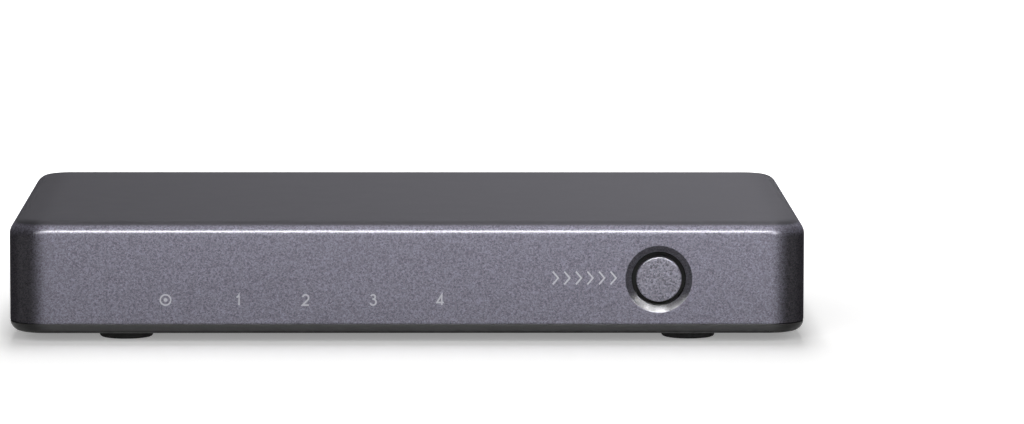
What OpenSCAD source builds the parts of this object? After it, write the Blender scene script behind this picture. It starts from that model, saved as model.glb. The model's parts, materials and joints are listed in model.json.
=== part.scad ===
// Four-input video switch box: a painted shell on a dark base cover, with a round select button and
// back-lit source numbers at the front, and five video sockets and a power socket at the rear.
// Millimetres. +Z is up, the front faces -Y, and the origin is on the table under the middle of the box.

/* [Housing] */
// Width of the housing, left to right
body_w = 160; // [144:1:180]
// Depth of the housing, front to rear
body_d = 96; // [90:1:120]
// Height of the housing without its feet
body_h = 22.8; // [20.6:0.1:30]
// Radius of the four upright corners
corner_r = 7.5; // [6:0.1:8]
// Radius of the rolled edge around the top
top_edge_r = 3.2; // [2.4:0.1:4]
// Radius of the rolled edge around the underside
bottom_edge_r = 2.3; // [2:0.1:4]
// Thickness of the shell's walls and top
wall = 2; // [1.8:0.1:2.2]
// Thickness of the base cover, up to the parting line
base_t = 2; // [1.8:0.1:2.2]
// Gap left open along the parting line
seam_gap = 0.15; // [0.05:0.05:0.3]
// Thickness of the base cover's locating lip
lip_t = 1.2; // [1:0.1:1.6]
// Height of the base cover's locating lip
lip_h = 1.5; // [1:0.1:1.6]
// Clearance between pieces that locate each other
fit_gap = 0.15; // [0.1:0.05:0.2]
// Depth by which joined solids sink into each other, and by which cuts run past a face
sink = 0.5; // [0.3:0.1:0.6]

/* [Feet and vents] */
// Diameter of a rubber foot
foot_d = 10.8; // [9:0.1:12]
// Height of the underside above the table
foot_h = 2.2; // [1.5:0.1:3]
// Depth of the recess that holds a foot
foot_seat = 0.6; // [0.4:0.1:0.8]
// Clearance around a foot in its recess
foot_gap = 0.1; // [0.05:0.05:0.2]
// Rounding of a foot's lower rim
foot_edge_r = 0.5; // [0.3:0.1:0.8]
// Distance from a foot's centre to the side of the housing
foot_inset_x = 23; // [20:0.5:26]
// Distance from a foot's centre to the front or rear of the housing
foot_inset_y = 14.8; // [13:0.1:17]
// Length of a vent slot in the base cover
vent_l = 26; // [16:1:30]
// Width of a vent slot
vent_w = 2; // [1.5:0.1:2.5]
// Distance between vent slots
vent_pitch = 5; // [4:0.5:6]
// Number of vent slots in each of the two groups
vent_count = 6; // [2:1:6]
// Distance between the two vent groups
vent_gap = 28; // [20:1:32]

/* [Housing screws] */
// Distance of a screw from both outer faces at its corner
screw_inset = 6.5; // [6.3:0.1:6.8]
// Diameter of a screw's shank
screw_d = 2.5; // [2.2:0.1:2.8]
// Length of a screw's shank
screw_l = 8; // [6:0.5:9]
// Diameter of a screw's head
screw_head_d = 5; // [4.4:0.1:5.2]
// Height of a screw's head
screw_head_h = 1.6; // [1.2:0.1:2]
// Diameter of the post that takes a screw
boss_d = 6; // [5.5:0.1:6.2]
// Depth at which a screw's head seats, above the underside
screw_seat_h = 3.2; // [2.8:0.1:3.4]
// Height of the base cover's screw pillars above the underside
pillar_h = 5.2; // [5:0.1:6]
// Diameter of the base cover's screw pillars
pillar_d = 8; // [7.6:0.1:8.2]
// Gap between a pillar and the post above it
pillar_gap = 0.1; // [0.05:0.05:0.2]
// Clearance around a shank where it passes through
screw_hole_gap = 0.25; // [0.15:0.05:0.3]
// Clearance around a screw's head
head_gap = 0.3; // [0.2:0.05:0.4]
// Clearance around a shank where it holds
thread_gap = 0.05; // [0.03:0.01:0.08]
// Depth of a pilot hole past the end of its screw
pilot_spare = 1; // [0.5:0.1:1.5]

/* [Select button] */
// Diameter of the button's cap
button_d = 9.1; // [8:0.1:9.6]
// Distance of the button's axis from the right side of the housing
button_inset = 29.6; // [28:0.1:34]
// Height of the button's axis above the underside
button_h = 11.2; // [11:0.1:12]
// How far the cap stands out of the front
button_proud = 0.5; // [0.3:0.1:0.8]
// Rounding of the cap's rim
button_edge_r = 0.5; // [0.3:0.1:0.7]
// Travel of the button when pressed
button_travel = 0.5; // [0.3:0.1:0.6]
// Dark gap around the cap
button_gap = 0.75; // [0.5:0.05:0.9]
// Diameter of the dish around the button
dish_d = 13.8; // [13:0.1:15]
// Depth of the dish at its inner rim
dish_depth = 0.6; // [0.5:0.1:1.2]
// How far the button's flange overlaps the wall behind the gap
flange_lap = 0.85; // [0.6:0.05:0.9]
// Thickness of the button's flange
flange_t = 1.2; // [1:0.1:1.4]
// Play between the flange and the wall in front of it
rest_gap = 0.05; // [0.03:0.01:0.1]
// Diameter of the button's stem
stem_d = 4.4; // [3.6:0.1:5]
// Wall of the collar that guides the flange
collar_t = 1.2; // [1:0.1:1.3]
// Length of the collar
collar_l = 3; // [2.6:0.1:3.2]
// Clearance around the sliding flange
slide_gap = 0.15; // [0.1:0.05:0.2]

/* [Key switch] */
// Width of the key switch
switch_w = 6.2; // [6:0.1:6.6]
// Depth of the key switch behind its bracket
switch_d = 3.6; // [3.3:0.1:4]
// Thickness of the bracket's sheet
bracket_t = 0.3; // [0.25:0.05:0.4]
// Clearance between the bracket and the switch
bracket_gap = 0.05; // [0.03:0.01:0.1]
// Depth of the bracket's cheeks
cheek_d = 3; // [2.6:0.1:3.4]
// Distance of the bracket's legs behind its front
bracket_leg_y = 1.2; // [1:0.1:1.6]
// Width of the bracket's legs
bracket_leg_w = 1.2; // [1:0.1:1.4]
// How far the plunger stands out of the bracket
plunger_proud = 1.2; // [1:0.1:1.3]
// Diameter of the plunger
plunger_d = 3.4; // [3:0.1:3.6]
// Diameter of the plunger's base
plunger_base_d = 4.4; // [4.2:0.1:4.8]
// Thickness of the plunger's base
plunger_base_t = 0.5; // [0.4:0.05:0.6]
// Play between the plunger's base and the bracket
plunger_gap = 0.1; // [0.05:0.05:0.15]
// Clearance around the plunger and its base
chamber_gap = 0.2; // [0.15:0.05:0.25]
// Thickness of the snap dome
dome_t = 0.1; // [0.08:0.01:0.12]
// Gap between the plunger and the dome
dome_gap = 0.05; // [0.03:0.01:0.08]
// Rise of the dome beyond the button's travel
dome_spare = 0.2; // [0.15:0.05:0.3]
// Diameter of a switch terminal
terminal_d = 0.7; // [0.5:0.05:0.8]
// Distance of a terminal from the switch's middle
terminal_x = 2.25; // [2:0.05:2.4]
// Distance of a terminal behind the bracket's front
terminal_y = 2.6; // [2.2:0.1:3]

/* [Circuit board] */
// Height of the board's top above the underside
board_h = 5.6; // [5.4:0.1:6]
// Thickness of the board
board_t = 1.6; // [1.2:0.1:1.8]
// Distance from the board's sides to the sides of the housing
board_side_gap = 12; // [11.6:0.1:14]
// Distance from the inside of the front wall to the board
board_front_gap = 4.5; // [4.3:0.1:5]
// Distance from the rear panel to the board
board_rear_gap = 0.35; // [0.2:0.05:0.5]
// Radius of the board's corners
board_corner_r = 1.5; // [1:0.1:2]
// Distance of the board's screws from its sides
board_screw_inset_x = 5; // [4.5:0.1:6]
// Distance of the front screws from the board's front edge
board_screw_front = 8; // [7:0.5:10]
// Distance of the rear screws from the board's rear edge
board_screw_rear = 20; // [19:0.5:22]
// Diameter of the board screws' shank
board_screw_d = 2; // [1.6:0.1:2.2]
// Diameter of the board screws' head
board_screw_head_d = 4.4; // [3.6:0.1:4.8]
// Height of the board screws' head
board_screw_head_h = 1.4; // [1:0.1:1.6]
// Depth of a post's hole past the end of its board screw
board_screw_spare = 0.4; // [0.2:0.1:0.8]
// Diameter of the posts that carry the board
standoff_d = 6; // [5:0.1:7]
// How far leads reach below the board's top
lead_drop = 2.2; // [1.8:0.1:2.3]
// Clearance around a lead in the board
lead_gap = 0.2; // [0.15:0.05:0.25]

/* [Rear panel] */
// Distance from the outermost sockets to the sides of the housing
row_side_gap = 17; // [16.5:0.1:19]
// Distance from the outermost sockets to the ends of the panel's opening
panel_margin = 4; // [3:0.1:4.5]
// Distance from the top of the power socket to the top of the panel's opening
panel_top_margin = 1; // [0.8:0.1:1.1]
// How far the panel's flange laps the wall around the opening
panel_lap = 0.9; // [0.7:0.1:1]
// Thickness of the panel's flange
panel_flange_t = 1.2; // [1:0.1:1.4]
// Gap between the panel and the faces it seats on
panel_seat_gap = 0.05; // [0.03:0.01:0.1]
// Depth of the panel behind the rear of the housing
panel_recess = 0.4; // [0.2:0.1:0.6]
// Gap between the panel and the edge of its opening
panel_gap = 0.2; // [0.1:0.05:0.25]
// Gap between a socket and its cut-out
cutout_gap = 0.25; // [0.15:0.05:0.3]

/* [Video sockets] */
// Distance between the inputs, counted from the right
input_pitch = 20; // [19:0.1:20.2]
// Distance of the output from the power socket at the left
output_pitch = 22; // [20:0.1:22.2]
// Width of a socket's metal shell
hdmi_w = 14.7; // [14.5:0.1:15]
// Height of a socket's metal shell
hdmi_h = 5.25; // [5.15:0.05:5.6]
// Length of a socket
hdmi_l = 11.6; // [11:0.1:12]
// Thickness of the shell's sheet
hdmi_sheet = 0.35; // [0.3:0.05:0.4]
// Size of the slanted lower corners
hdmi_low_cut = 2; // [1.8:0.1:2.1]
// Size of the clipped upper corners
hdmi_top_cut = 0.6; // [0.5:0.1:0.8]
// How far a socket stands out of the rear
hdmi_proud = 0.5; // [0.3:0.1:0.8]
// Width of the windows in the shell's top
spring_window_w = 2; // [1.8:0.1:2.4]
// Length of the windows
spring_window_l = 4.4; // [4:0.1:4.6]
// Distance of the windows behind the mouth
spring_window_back = 2.6; // [2.2:0.1:3]
// Distance of the windows from the socket's middle
spring_x = 3.2; // [2.8:0.1:3.6]
// Width of the spring finger in a window
spring_w = 1.4; // [1.2:0.1:1.6]
// Length of a spring finger
spring_l = 3.9; // [3.4:0.1:4]
// How far a finger is bent into the socket
spring_dip = 0.3; // [0.2:0.05:0.4]
// Length of the insulator's block behind the tongue
block_l = 4; // [3.5:0.1:4.2]
// Width of the tongue
tongue_w = 11; // [10.6:0.1:11.4]
// Thickness of the tongue
tongue_t = 1.5; // [1.3:0.1:1.7]
// Distance of the tongue's end behind the mouth
tongue_back = 1.6; // [1.2:0.1:2]
// Distance between contacts on one side of the tongue
contact_pitch = 1; // [0.95:0.01:1.03]
// Width of a contact
contact_w = 0.3; // [0.25:0.01:0.32]
// Thickness of a contact
contact_t = 0.2; // [0.15:0.01:0.25]
// How far a contact stands out of the tongue
contact_proud = 0.1; // [0.05:0.01:0.12]
// Distance of the contacts' ends behind the tongue's end
contact_back = 0.6; // [0.4:0.1:0.8]
// Clearance around a contact and around the insulator
contact_gap = 0.03; // [0.02:0.01:0.04]
// Gap between the contacts' tails and the insulator
tail_gap = 0.1; // [0.05:0.05:0.2]
// Length of a contact's solder foot
contact_foot = 1.2; // [0.8:0.1:1.4]
// Width of a shell's legs
leg_w = 1.2; // [1:0.1:1.3]
// How far a leg laps the shell's upright side
leg_lap = 1; // [0.8:0.1:1.4]
// Distance of the front legs behind the mouth
leg_front = 5.8; // [5.7:0.1:6]
// Distance of the rear legs behind the mouth
leg_rear = 10.2; // [9:0.1:10.4]

/* [Power socket] */
// Width of the power socket
dc_w = 9; // [8.8:0.1:9.6]
// Height of the power socket
dc_h = 10.8; // [10.6:0.1:11]
// Length of the power socket
dc_l = 14; // [13.5:0.1:14.5]
// Length of its full-size front block
dc_front_l = 3.6; // [3:0.1:4]
// Height of its axis above the board
dc_axis_h = 6.4; // [6.2:0.1:6.5]
// Diameter of the barrel behind the front block
dc_barrel_d = 8.4; // [8:0.1:8.6]
// How much narrower the barrel's foot is, at each side
dc_foot_inset = 0.4; // [0.2:0.1:0.6]
// Diameter of the bore
dc_bore_d = 6.4; // [6.2:0.1:6.6]
// Depth of the bore
dc_bore_l = 9.5; // [9:0.1:10]
// Diameter of the centre pin
dc_pin_d = 2; // [1.9:0.1:2.1]
// Length of the centre pin
dc_pin_l = 8.5; // [8:0.1:8.9]
// Diameter of the pin's shank in the socket's back wall
dc_shank_d = 1.4; // [1.2:0.1:1.6]
// Width of the sleeve contact
leaf_w = 2; // [1.6:0.1:2.2]
// Thickness of the contacts' strip
leaf_t = 0.3; // [0.25:0.05:0.4]
// How far the sleeve contact reaches into the bore
leaf_rise = 0.4; // [0.2:0.1:0.5]
// How far the sleeve contact's ends lie below the bore
leaf_sag = 0.4; // [0.3:0.1:0.5]
// Distance of the sleeve contact's leg from the rear of the housing
leaf_leg_back = 8; // [7.5:0.1:8.5]
// Distance of the sleeve contact's end from the rear of the housing
leaf_end_back = 3; // [2.6:0.1:3.4]
// Clearance around the sleeve contact in its slot
leaf_gap = 0.2; // [0.15:0.05:0.3]

/* [Front lights] */
// Distance of the first numeral from the left side of the housing
numeral_inset = 46.1; // [45:0.1:47]
// Distance between numerals
numeral_pitch = 13.5; // [13:0.1:14]
// Height of the numerals above the underside
numeral_h = 7; // [6.6:0.1:7.4]
// Distance of the receiver's mark from the left side of the housing
ir_inset = 31.6; // [30:0.1:33]
// Width of a light window
window_w = 5; // [4.5:0.1:6]
// Height of a light window
window_h = 3.6; // [3.4:0.1:4]
// Depth of a light window, cut into the front wall from inside
window_depth = 1.2; // [1:0.1:1.3]
// Thickness of the light guide's bar
guide_t = 3; // [2.5:0.1:3.2]
// Clearance around the light guide
guide_gap = 0.2; // [0.15:0.05:0.3]
// Width of an indicator lamp
led_w = 3; // [2.6:0.1:3.4]
// Depth of an indicator lamp
led_d = 1.5; // [1.2:0.1:1.8]
// Height of an indicator lamp
led_h = 1.5; // [1.2:0.1:1.6]
// Diameter of a lamp's lens
led_lens_d = 1.1; // [0.9:0.1:1.2]
// How far a lamp's lens stands out
led_lens_l = 0.4; // [0.3:0.05:0.5]
// Width of the infrared receiver
ir_w = 5.8; // [5.4:0.1:6.2]
// Depth of the infrared receiver
ir_d = 3.2; // [2.8:0.1:3.6]
// Height of the infrared receiver
ir_h = 6.9; // [6.5:0.1:7.2]
// Radius of the receiver's lens
ir_lens_r = 2.3; // [2:0.1:2.5]
// Height of the lens above the board
ir_lens_h = 3.6; // [3.3:0.1:4]
// How far the lens stands out of the receiver
ir_lens_proud = 1.5; // [1:0.1:1.8]
// Distance of the receiver behind the board's front edge
ir_set_back = 0.8; // [0.7:0.1:1.2]
// Distance between the receiver's leads
ir_pitch = 2.54; // [2.3:0.02:2.6]
// Diameter of the receiver's leads
ir_lead_d = 0.6; // [0.5:0.05:0.7]

/* [Board parts] */
// Gap between a package with leads and the board
chip_lift = 0.1; // [0.05:0.05:0.2]
// Thickness of a package's leads
package_lead_t = 0.2; // [0.15:0.05:0.25]
// Height at which leads leave a package
package_lead_z = 0.8; // [0.6:0.1:1]
// Length of a package's leads
package_lead_l = 1; // [0.8:0.1:1.2]
// Distance between a package's leads
package_pitch = 1.27; // [1.2:0.01:1.27]
// Width of a package's leads
package_lead_w = 0.4; // [0.3:0.05:0.5]
// Width, depth and height of the microcontroller
controller_size = [12.8, 7.5, 2.3]; // [1:0.1:14]
// Distance of the microcontroller from the board's front edge
controller_front = 22; // [20:0.5:24]
// Width, depth and height of a memory chip
memory_size = [4.9, 3.9, 1.45]; // [1:0.05:6]
// Distance of the memory chips from the board's rear edge
memory_back = 18.5; // [18:0.1:19.5]
// Width, depth and height of a surge array
surge_size = [2.5, 1, 0.6]; // [0.4:0.1:4]
// Distance of the surge arrays from the board's rear edge
surge_back = 12.5; // [12:0.1:13.5]
// Width of the video chip
hdmi_chip_w = 10; // [8:0.1:12]
// Height of the video chip
hdmi_chip_h = 0.9; // [0.8:0.05:1.2]
// Distance of the video chip from the board's rear edge
hdmi_chip_back = 32; // [30:0.5:34]
// Diameter of the video chip's mark dimple
dimple_d = 0.8; // [0.6:0.1:1]
// Depth of the mark dimple
dimple_depth = 0.1; // [0.05:0.05:0.2]
// Distance of the mark dimple from both edges at its corner
dimple_inset = 1.2; // [1:0.1:1.5]
// Width, depth and height of the regulator
regulator_size = [6.5, 3.5, 1.6]; // [1:0.1:8]
// Distance between the regulator's leads
regulator_pitch = 2.3; // [2.1:0.1:2.4]
// Width of the regulator's leads
regulator_lead_w = 0.7; // [0.6:0.1:0.8]
// Width of the regulator's tab
regulator_tab_w = 3; // [2.6:0.1:3.4]
// Distance of the regulator and the inductor from the board's rear edge
power_back = 22; // [21:0.5:23]
// Distance of the regulator and the inductor to both sides of the output
power_spread = 6; // [5.6:0.1:6.5]
// Width of the inductor's base
inductor_w = 7; // [6.4:0.1:7.5]
// Height of the inductor's base
inductor_base_h = 1; // [0.8:0.1:1.2]
// Diameter of the inductor's core
inductor_core_d = 6.6; // [6:0.1:7]
// Height of the inductor
inductor_h = 3.2; // [2.8:0.1:4]
// Length of the crystal
crystal_l = 11; // [10:0.1:11.5]
// Depth of the crystal
crystal_d = 4.7; // [4.4:0.1:5]
// Height of the crystal
crystal_h = 3.5; // [3:0.1:4]
// Gap between the crystal and the microcontroller
crystal_gap = 4; // [3:0.5:5]
// Width of a capacitor's base
capacitor_w = 6.6; // [6.4:0.1:7]
// Height of a capacitor's base
capacitor_base_h = 1; // [0.8:0.1:1.2]
// Diameter of a capacitor
capacitor_d = 6.3; // [6:0.1:6.5]
// Height of a capacitor
capacitor_h = 5.8; // [5:0.1:7]
// Distance between the capacitors
capacitor_pitch = 9; // [8:0.1:10]
// Distance of the capacitors from the board's rear edge
capacitor_back = 30; // [29:0.5:32]

/* [Hidden] */
$fn = 64;

// Heights and depths that pieces share
base_z = foot_h;
top_z = base_z + body_h;
ceiling_z = top_z - wall;
floor_z = base_z + base_t;
shell_z = floor_z + seam_gap;
front_y = -body_d / 2;
front_in_y = front_y + wall;
rear_y = body_d / 2;
rear_in_y = rear_y - wall;
inner_edge_r = top_edge_r - wall;

// Circuit board
board_top_z = base_z + board_h;
board_low_z = board_top_z - board_t;
board_w = body_w - 2 * board_side_gap;
panel_in_y = rear_in_y - panel_seat_gap - panel_flange_t;
board_front_y = front_in_y + board_front_gap;
board_rear_y = panel_in_y - board_rear_gap;
board_screw_x = board_w / 2 - board_screw_inset_x;
board_screw_places = [
    for (sx = [-1, 1]) for (y = [board_front_y + board_screw_front, board_rear_y - board_screw_rear])
        [sx * board_screw_x, y]
];
board_screw_l = board_top_z - floor_z - board_screw_spare;
lead_z = -lead_drop;

// Rear connectors, counted from the first input; the fifth is the output
hdmi_mouth_y = rear_y + hdmi_proud;
first_x = body_w / 2 - row_side_gap - hdmi_w / 2;
dc_x = row_side_gap + dc_w / 2 - body_w / 2;
hdmi_x = [for (i = [0:3]) first_x - i * input_pitch, dc_x + output_pitch];
leg_y = [-leg_front, -leg_rear];
leg_t = hdmi_sheet;

// A 45 degree corner loses this share of a wall's thickness when its outline is set in by it
corner_loss = 2 - sqrt(2);

// Tongue of a video socket, and the lower faces of its ten upper and nine lower contacts
tongue_z = hdmi_h / 2;
upper_contact_z = tongue_z + tongue_t / 2 + contact_proud - contact_t;
lower_contact_z = tongue_z - tongue_t / 2 - contact_proud;
contact_tip_y = -tongue_back - contact_back;
contact_rows = [
    for (i = [0:9]) [(i - 4.5) * contact_pitch, upper_contact_z],
    for (i = [0:8]) [(i - 4) * contact_pitch, lower_contact_z]
];

// Sleeve contact of the power socket
leaf_leg_y = -leaf_leg_back;
leaf_end_y = -leaf_end_back;
leaf_low_z = dc_axis_h - dc_bore_d / 2 - leaf_t - leaf_sag;

// Opening that holds the rear panel
opening_left_x = dc_x - dc_w / 2 - panel_margin;
opening_right_x = first_x + hdmi_w / 2 + panel_margin;
opening_top_z = board_top_z + dc_h + panel_top_margin;

// Housing screws
screw_places = [
    for (sx = [-1, 1]) for (sy = [-1, 1])
        [sx * (body_w / 2 - screw_inset), sy * (body_d / 2 - screw_inset)]
];
pilot_l = screw_l - (pillar_h - screw_seat_h) + pilot_spare;

// Feet and vent groups
foot_x = body_w / 2 - foot_inset_x;
foot_y = body_d / 2 - foot_inset_y;
vent_x = (vent_gap + vent_l) / 2;

// Select button, along the press direction
button_x = body_w / 2 - button_inset;
axis_z = base_z + button_h;
cap_r = button_d / 2;
hole_r = cap_r + button_gap;
flange_r = hole_r + flange_lap;
bore_r = flange_r + slide_gap;
collar_r = bore_r + collar_t;
flange_y = front_in_y + rest_gap;
cap_l = flange_y - (front_y - button_proud);
dish_r = dish_d / 2;
dish_offset = (pow(dish_r, 2) - pow(hole_r, 2) - pow(dish_depth, 2)) / (2 * dish_depth);
dish_sphere_r = sqrt(pow(dish_r, 2) + pow(dish_offset, 2));

// Key switch, measured from the front of its bracket and from the board's top
switch_axis_h = button_h - board_h;
switch_top_h = switch_axis_h + switch_w / 2;
bracket_x = switch_w / 2 + bracket_gap;
plunger_r = plunger_d / 2;
plunger_base_r = plunger_base_d / 2;
plunger_hole_r = plunger_r + chamber_gap;
chamber_r = plunger_base_r + chamber_gap;
plunger_tip_y = board_front_y - plunger_proud;
dome_rise = button_travel + dome_spare;
chamber_y = bracket_t + plunger_gap + plunger_base_t + dome_gap + dome_rise;
dome_sphere_r = (pow(plunger_base_r, 2) + pow(dome_rise, 2)) / (2 * dome_rise);
stem_l = plunger_tip_y - (flange_y + flange_t);
terminal_r = terminal_d / 2;

// Front lights
ir_x = ir_inset - body_w / 2;
ir_lead_r = ir_lead_d / 2;
numeral_x = numeral_inset - body_w / 2;
numeral_places = [for (i = [0:3]) numeral_x + i * numeral_pitch];
numeral_z = base_z + numeral_h;

// Places of the board's parts
controller_at = [(hdmi_x[3] + hdmi_x[4]) / 2, board_front_y + controller_front];
crystal_at = [controller_at[0] - controller_size[0] / 2 - crystal_gap - crystal_l / 2, controller_at[1]];
memory_at = [for (i = [0:3]) [hdmi_x[i], board_rear_y - memory_back]];
surge_at = [for (x = hdmi_x) [x, board_rear_y - surge_back]];
hdmi_chip_at = [hdmi_x[2], board_rear_y - hdmi_chip_back];
regulator_at = [hdmi_x[4] - power_spread, board_rear_y - power_back];
inductor_at = [hdmi_x[4] + power_spread, board_rear_y - power_back];
capacitor_at = [for (i = [0, 1]) [dc_x + i * capacitor_pitch, board_rear_y - capacitor_back]];

// Quarter of a disc, in the positive quadrant
module quarter_disc(r) {
    intersection() {
        circle(r);
        square(r);
    }
}

// Half of a section whose outer corners are rolled, from the axis to radius r
module rolled_half(r, h, top_r, low_r) {
    translate([0, low_r])
        square([r, h - top_r - low_r]);
    if (top_r > 0) {
        translate([0, h - top_r])
            square([r - top_r, top_r]);
        translate([r - top_r, h - top_r])
            quarter_disc(top_r);
    }
    if (low_r > 0) {
        square([r - low_r, low_r]);
        translate([r - low_r, low_r])
            mirror([0, 1])
                quarter_disc(low_r);
    }
}

// Whole section of width w, standing on its lower edge
module rolled_section(w, h, top_r, low_r) {
    rolled_half(w / 2, h, top_r, low_r);
    mirror([1, 0])
        rolled_half(w / 2, h, top_r, low_r);
}

// Slab with upright corners of radius r and rolled upper and lower edges
module rolled_slab(w, d, h, r, top_r, low_r) {
    rotate([90, 0, 90])
        linear_extrude(w - 2 * r, center = true)
            rolled_section(d, h, top_r, low_r);
    rotate([90, 0, 0])
        linear_extrude(d - 2 * r, center = true)
            rolled_section(w, h, top_r, low_r);
    for (turn = [0:3])
        let (sx = (turn == 0 || turn == 3) ? 1 : -1, sy = turn < 2 ? 1 : -1)
            translate([sx * (w / 2 - r), sy * (d / 2 - r), 0])
                rotate([0, 0, 90 * turn])
                    rotate_extrude(angle = 90)
                        rolled_half(r, h, top_r, low_r);
}

// Flat plate with rounded corners, cut by upright planes only
module rounded_plate(w, d, h, r) {
    linear_extrude(h)
        union() {
            square([w - 2 * r, d], center = true);
            square([w, d - 2 * r], center = true);
            for (sx = [-1, 1]) for (sy = [-1, 1])
                translate([sx * (w / 2 - r), sy * (d / 2 - r)])
                    circle(r);
        }
}

// Cylinder along the press direction, from y to y + l, at the button's axis
module press_cylinder(r, y, l) {
    translate([button_x, y, axis_z])
        rotate([-90, 0, 0])
            cylinder(r = r, h = l);
}

// Outer form of the closed housing
module housing_form() {
    translate([0, 0, base_z])
        rolled_slab(body_w, body_d, body_h, corner_r, top_edge_r, bottom_edge_r);
}

// Hollow of the closed housing, open below
module housing_hollow() {
    translate([0, 0, base_z - sink])
        rolled_slab(
            body_w - 2 * wall, body_d - 2 * wall, body_h - wall + sink,
            corner_r - wall, inner_edge_r, 0
        );
}

// Block that holds everything below the height z
module below(z) {
    translate([-body_w, -body_d, -body_h])
        cube([2 * body_w, 2 * body_d, body_h + z]);
}

// Light windows cut into the front wall from inside
module windows() {
    for (x = numeral_places)
        translate([x - window_w / 2, front_in_y - window_depth, numeral_z - window_h / 2])
            cube([window_w, window_depth + sink, window_h]);
    translate([ir_x - ir_w / 2, front_in_y - window_depth, board_top_z])
        cube([ir_w, window_depth + sink, ir_h]);
}

// Opening in the rear wall that holds the panel
module rear_opening() {
    translate([opening_left_x, rear_in_y - sink, base_z])
        cube([opening_right_x - opening_left_x, wall + 2 * sink, opening_top_z - base_z]);
}

module top_shell() {
    color([0.46, 0.46, 0.5])
        difference() {
            union() {
                difference() {
                    housing_form();
                    housing_hollow();
                    below(shell_z);
                }
                for (p = screw_places)
                    translate([p[0], p[1], base_z + pillar_h + pillar_gap])
                        cylinder(d = boss_d, h = ceiling_z + sink - base_z - pillar_h - pillar_gap);
                press_cylinder(collar_r, front_in_y - sink, collar_l + sink);
            }
            for (p = screw_places)
                translate([p[0], p[1], base_z + pillar_h])
                    cylinder(r = screw_d / 2 + thread_gap, h = pilot_l);
            press_cylinder(bore_r, front_in_y, collar_l + sink);
            press_cylinder(hole_r, front_y - sink, wall + 2 * sink);
            translate([button_x, front_y - dish_offset, axis_z])
                sphere(dish_sphere_r);
            windows();
            rear_opening();
        }
}

// Locating lip that stands inside the shell's walls, clear of the panel and the button's collar
module lip() {
    out_w = body_w - 2 * wall - 2 * fit_gap;
    out_d = body_d - 2 * wall - 2 * fit_gap;
    out_r = corner_r - wall - fit_gap;
    gate_x = opening_left_x - panel_lap - fit_gap;
    gate_w = opening_right_x - opening_left_x + 2 * panel_lap + 2 * fit_gap;
    difference() {
        translate([0, 0, floor_z - sink])
            rounded_plate(out_w, out_d, lip_h + sink, out_r);
        translate([0, 0, floor_z - 2 * sink])
            rounded_plate(out_w - 2 * lip_t, out_d - 2 * lip_t, lip_h + 3 * sink, out_r - lip_t);
        translate([gate_x, body_d / 4, floor_z])
            cube([gate_w, body_d / 2, lip_h + sink]);
        press_cylinder(collar_r + fit_gap, front_y, wall + collar_l + fit_gap);
    }
}

// Vent slot with round ends, cut through the base
module vent_slot() {
    cube_l = vent_l - vent_w;
    translate([-cube_l / 2, -vent_w / 2, 0])
        cube([cube_l, vent_w, base_t + 2 * sink]);
    for (sx = [-1, 1])
        translate([sx * cube_l / 2, 0, 0])
            cylinder(d = vent_w, h = base_t + 2 * sink);
}

module base_cover() {
    color([0.16, 0.16, 0.17])
        difference() {
            union() {
                intersection() {
                    housing_form();
                    below(floor_z);
                }
                lip();
                for (p = screw_places)
                    translate([p[0], p[1], floor_z - sink])
                        cylinder(d = pillar_d, h = base_z + pillar_h - floor_z + sink);
                for (p = board_screw_places)
                    translate([p[0], p[1], floor_z - sink])
                        cylinder(d = standoff_d, h = board_low_z - floor_z + sink);
            }
            for (p = screw_places) {
                translate([p[0], p[1], base_z - sink])
                    cylinder(r = screw_head_d / 2 + head_gap, h = screw_seat_h + sink);
                translate([p[0], p[1], base_z])
                    cylinder(r = screw_d / 2 + screw_hole_gap, h = pillar_h + sink);
            }
            for (p = board_screw_places)
                translate([p[0], p[1], floor_z])
                    cylinder(r = board_screw_d / 2 + thread_gap, h = board_low_z - floor_z + sink);
            for (sx = [-1, 1]) for (sy = [-1, 1])
                translate([sx * foot_x, sy * foot_y, base_z - sink])
                    cylinder(r = foot_d / 2 + foot_gap, h = foot_seat + sink);
            for (sx = [-1, 1]) for (i = [0:vent_count - 1])
                translate([sx * vent_x, (i - (vent_count - 1) / 2) * vent_pitch, base_z - sink])
                    vent_slot();
        }
}

// Outline of a video socket, set in by an amount; a negative amount makes it larger
module socket_outline(inset) {
    w = hdmi_w / 2 - inset;
    low = inset;
    high = hdmi_h - inset;
    low_cut = hdmi_low_cut - corner_loss * inset;
    top_cut = hdmi_top_cut - corner_loss * inset;
    polygon([
        [low_cut - w, low], [w - low_cut, low], [w, low + low_cut], [w, high - top_cut],
        [w - top_cut, high], [top_cut - w, high], [-w, high - top_cut], [-w, low + low_cut]
    ]);
}

module rear_panel() {
    left = opening_left_x + panel_gap;
    right = opening_right_x - panel_gap;
    low = floor_z + panel_seat_gap;
    color([0.08, 0.08, 0.085])
        difference() {
            union() {
                translate([left, rear_in_y - sink, low])
                    cube([right - left, wall + sink - panel_recess, opening_top_z - panel_gap - low]);
                translate([opening_left_x - panel_lap, panel_in_y, low])
                    cube([
                        opening_right_x - opening_left_x + 2 * panel_lap, panel_flange_t,
                        opening_top_z + panel_lap - low
                    ]);
            }
            for (x = hdmi_x)
                translate([x, rear_y + sink, board_top_z])
                    rotate([90, 0, 0])
                        linear_extrude(wall + panel_flange_t + 3 * sink)
                            socket_outline(-cutout_gap);
            translate([dc_x - dc_w / 2 - cutout_gap, panel_in_y - sink, board_top_z - cutout_gap])
                cube([dc_w + 2 * cutout_gap, wall + panel_flange_t + 2 * sink, dc_h + 2 * cutout_gap]);
        }
}

module foot(sx, sy) {
    color([0.05, 0.05, 0.05])
        translate([sx * foot_x, sy * foot_y, 0])
            rotate_extrude()
                rolled_half(foot_d / 2, foot_h + foot_seat, 0, foot_edge_r);
}

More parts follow.
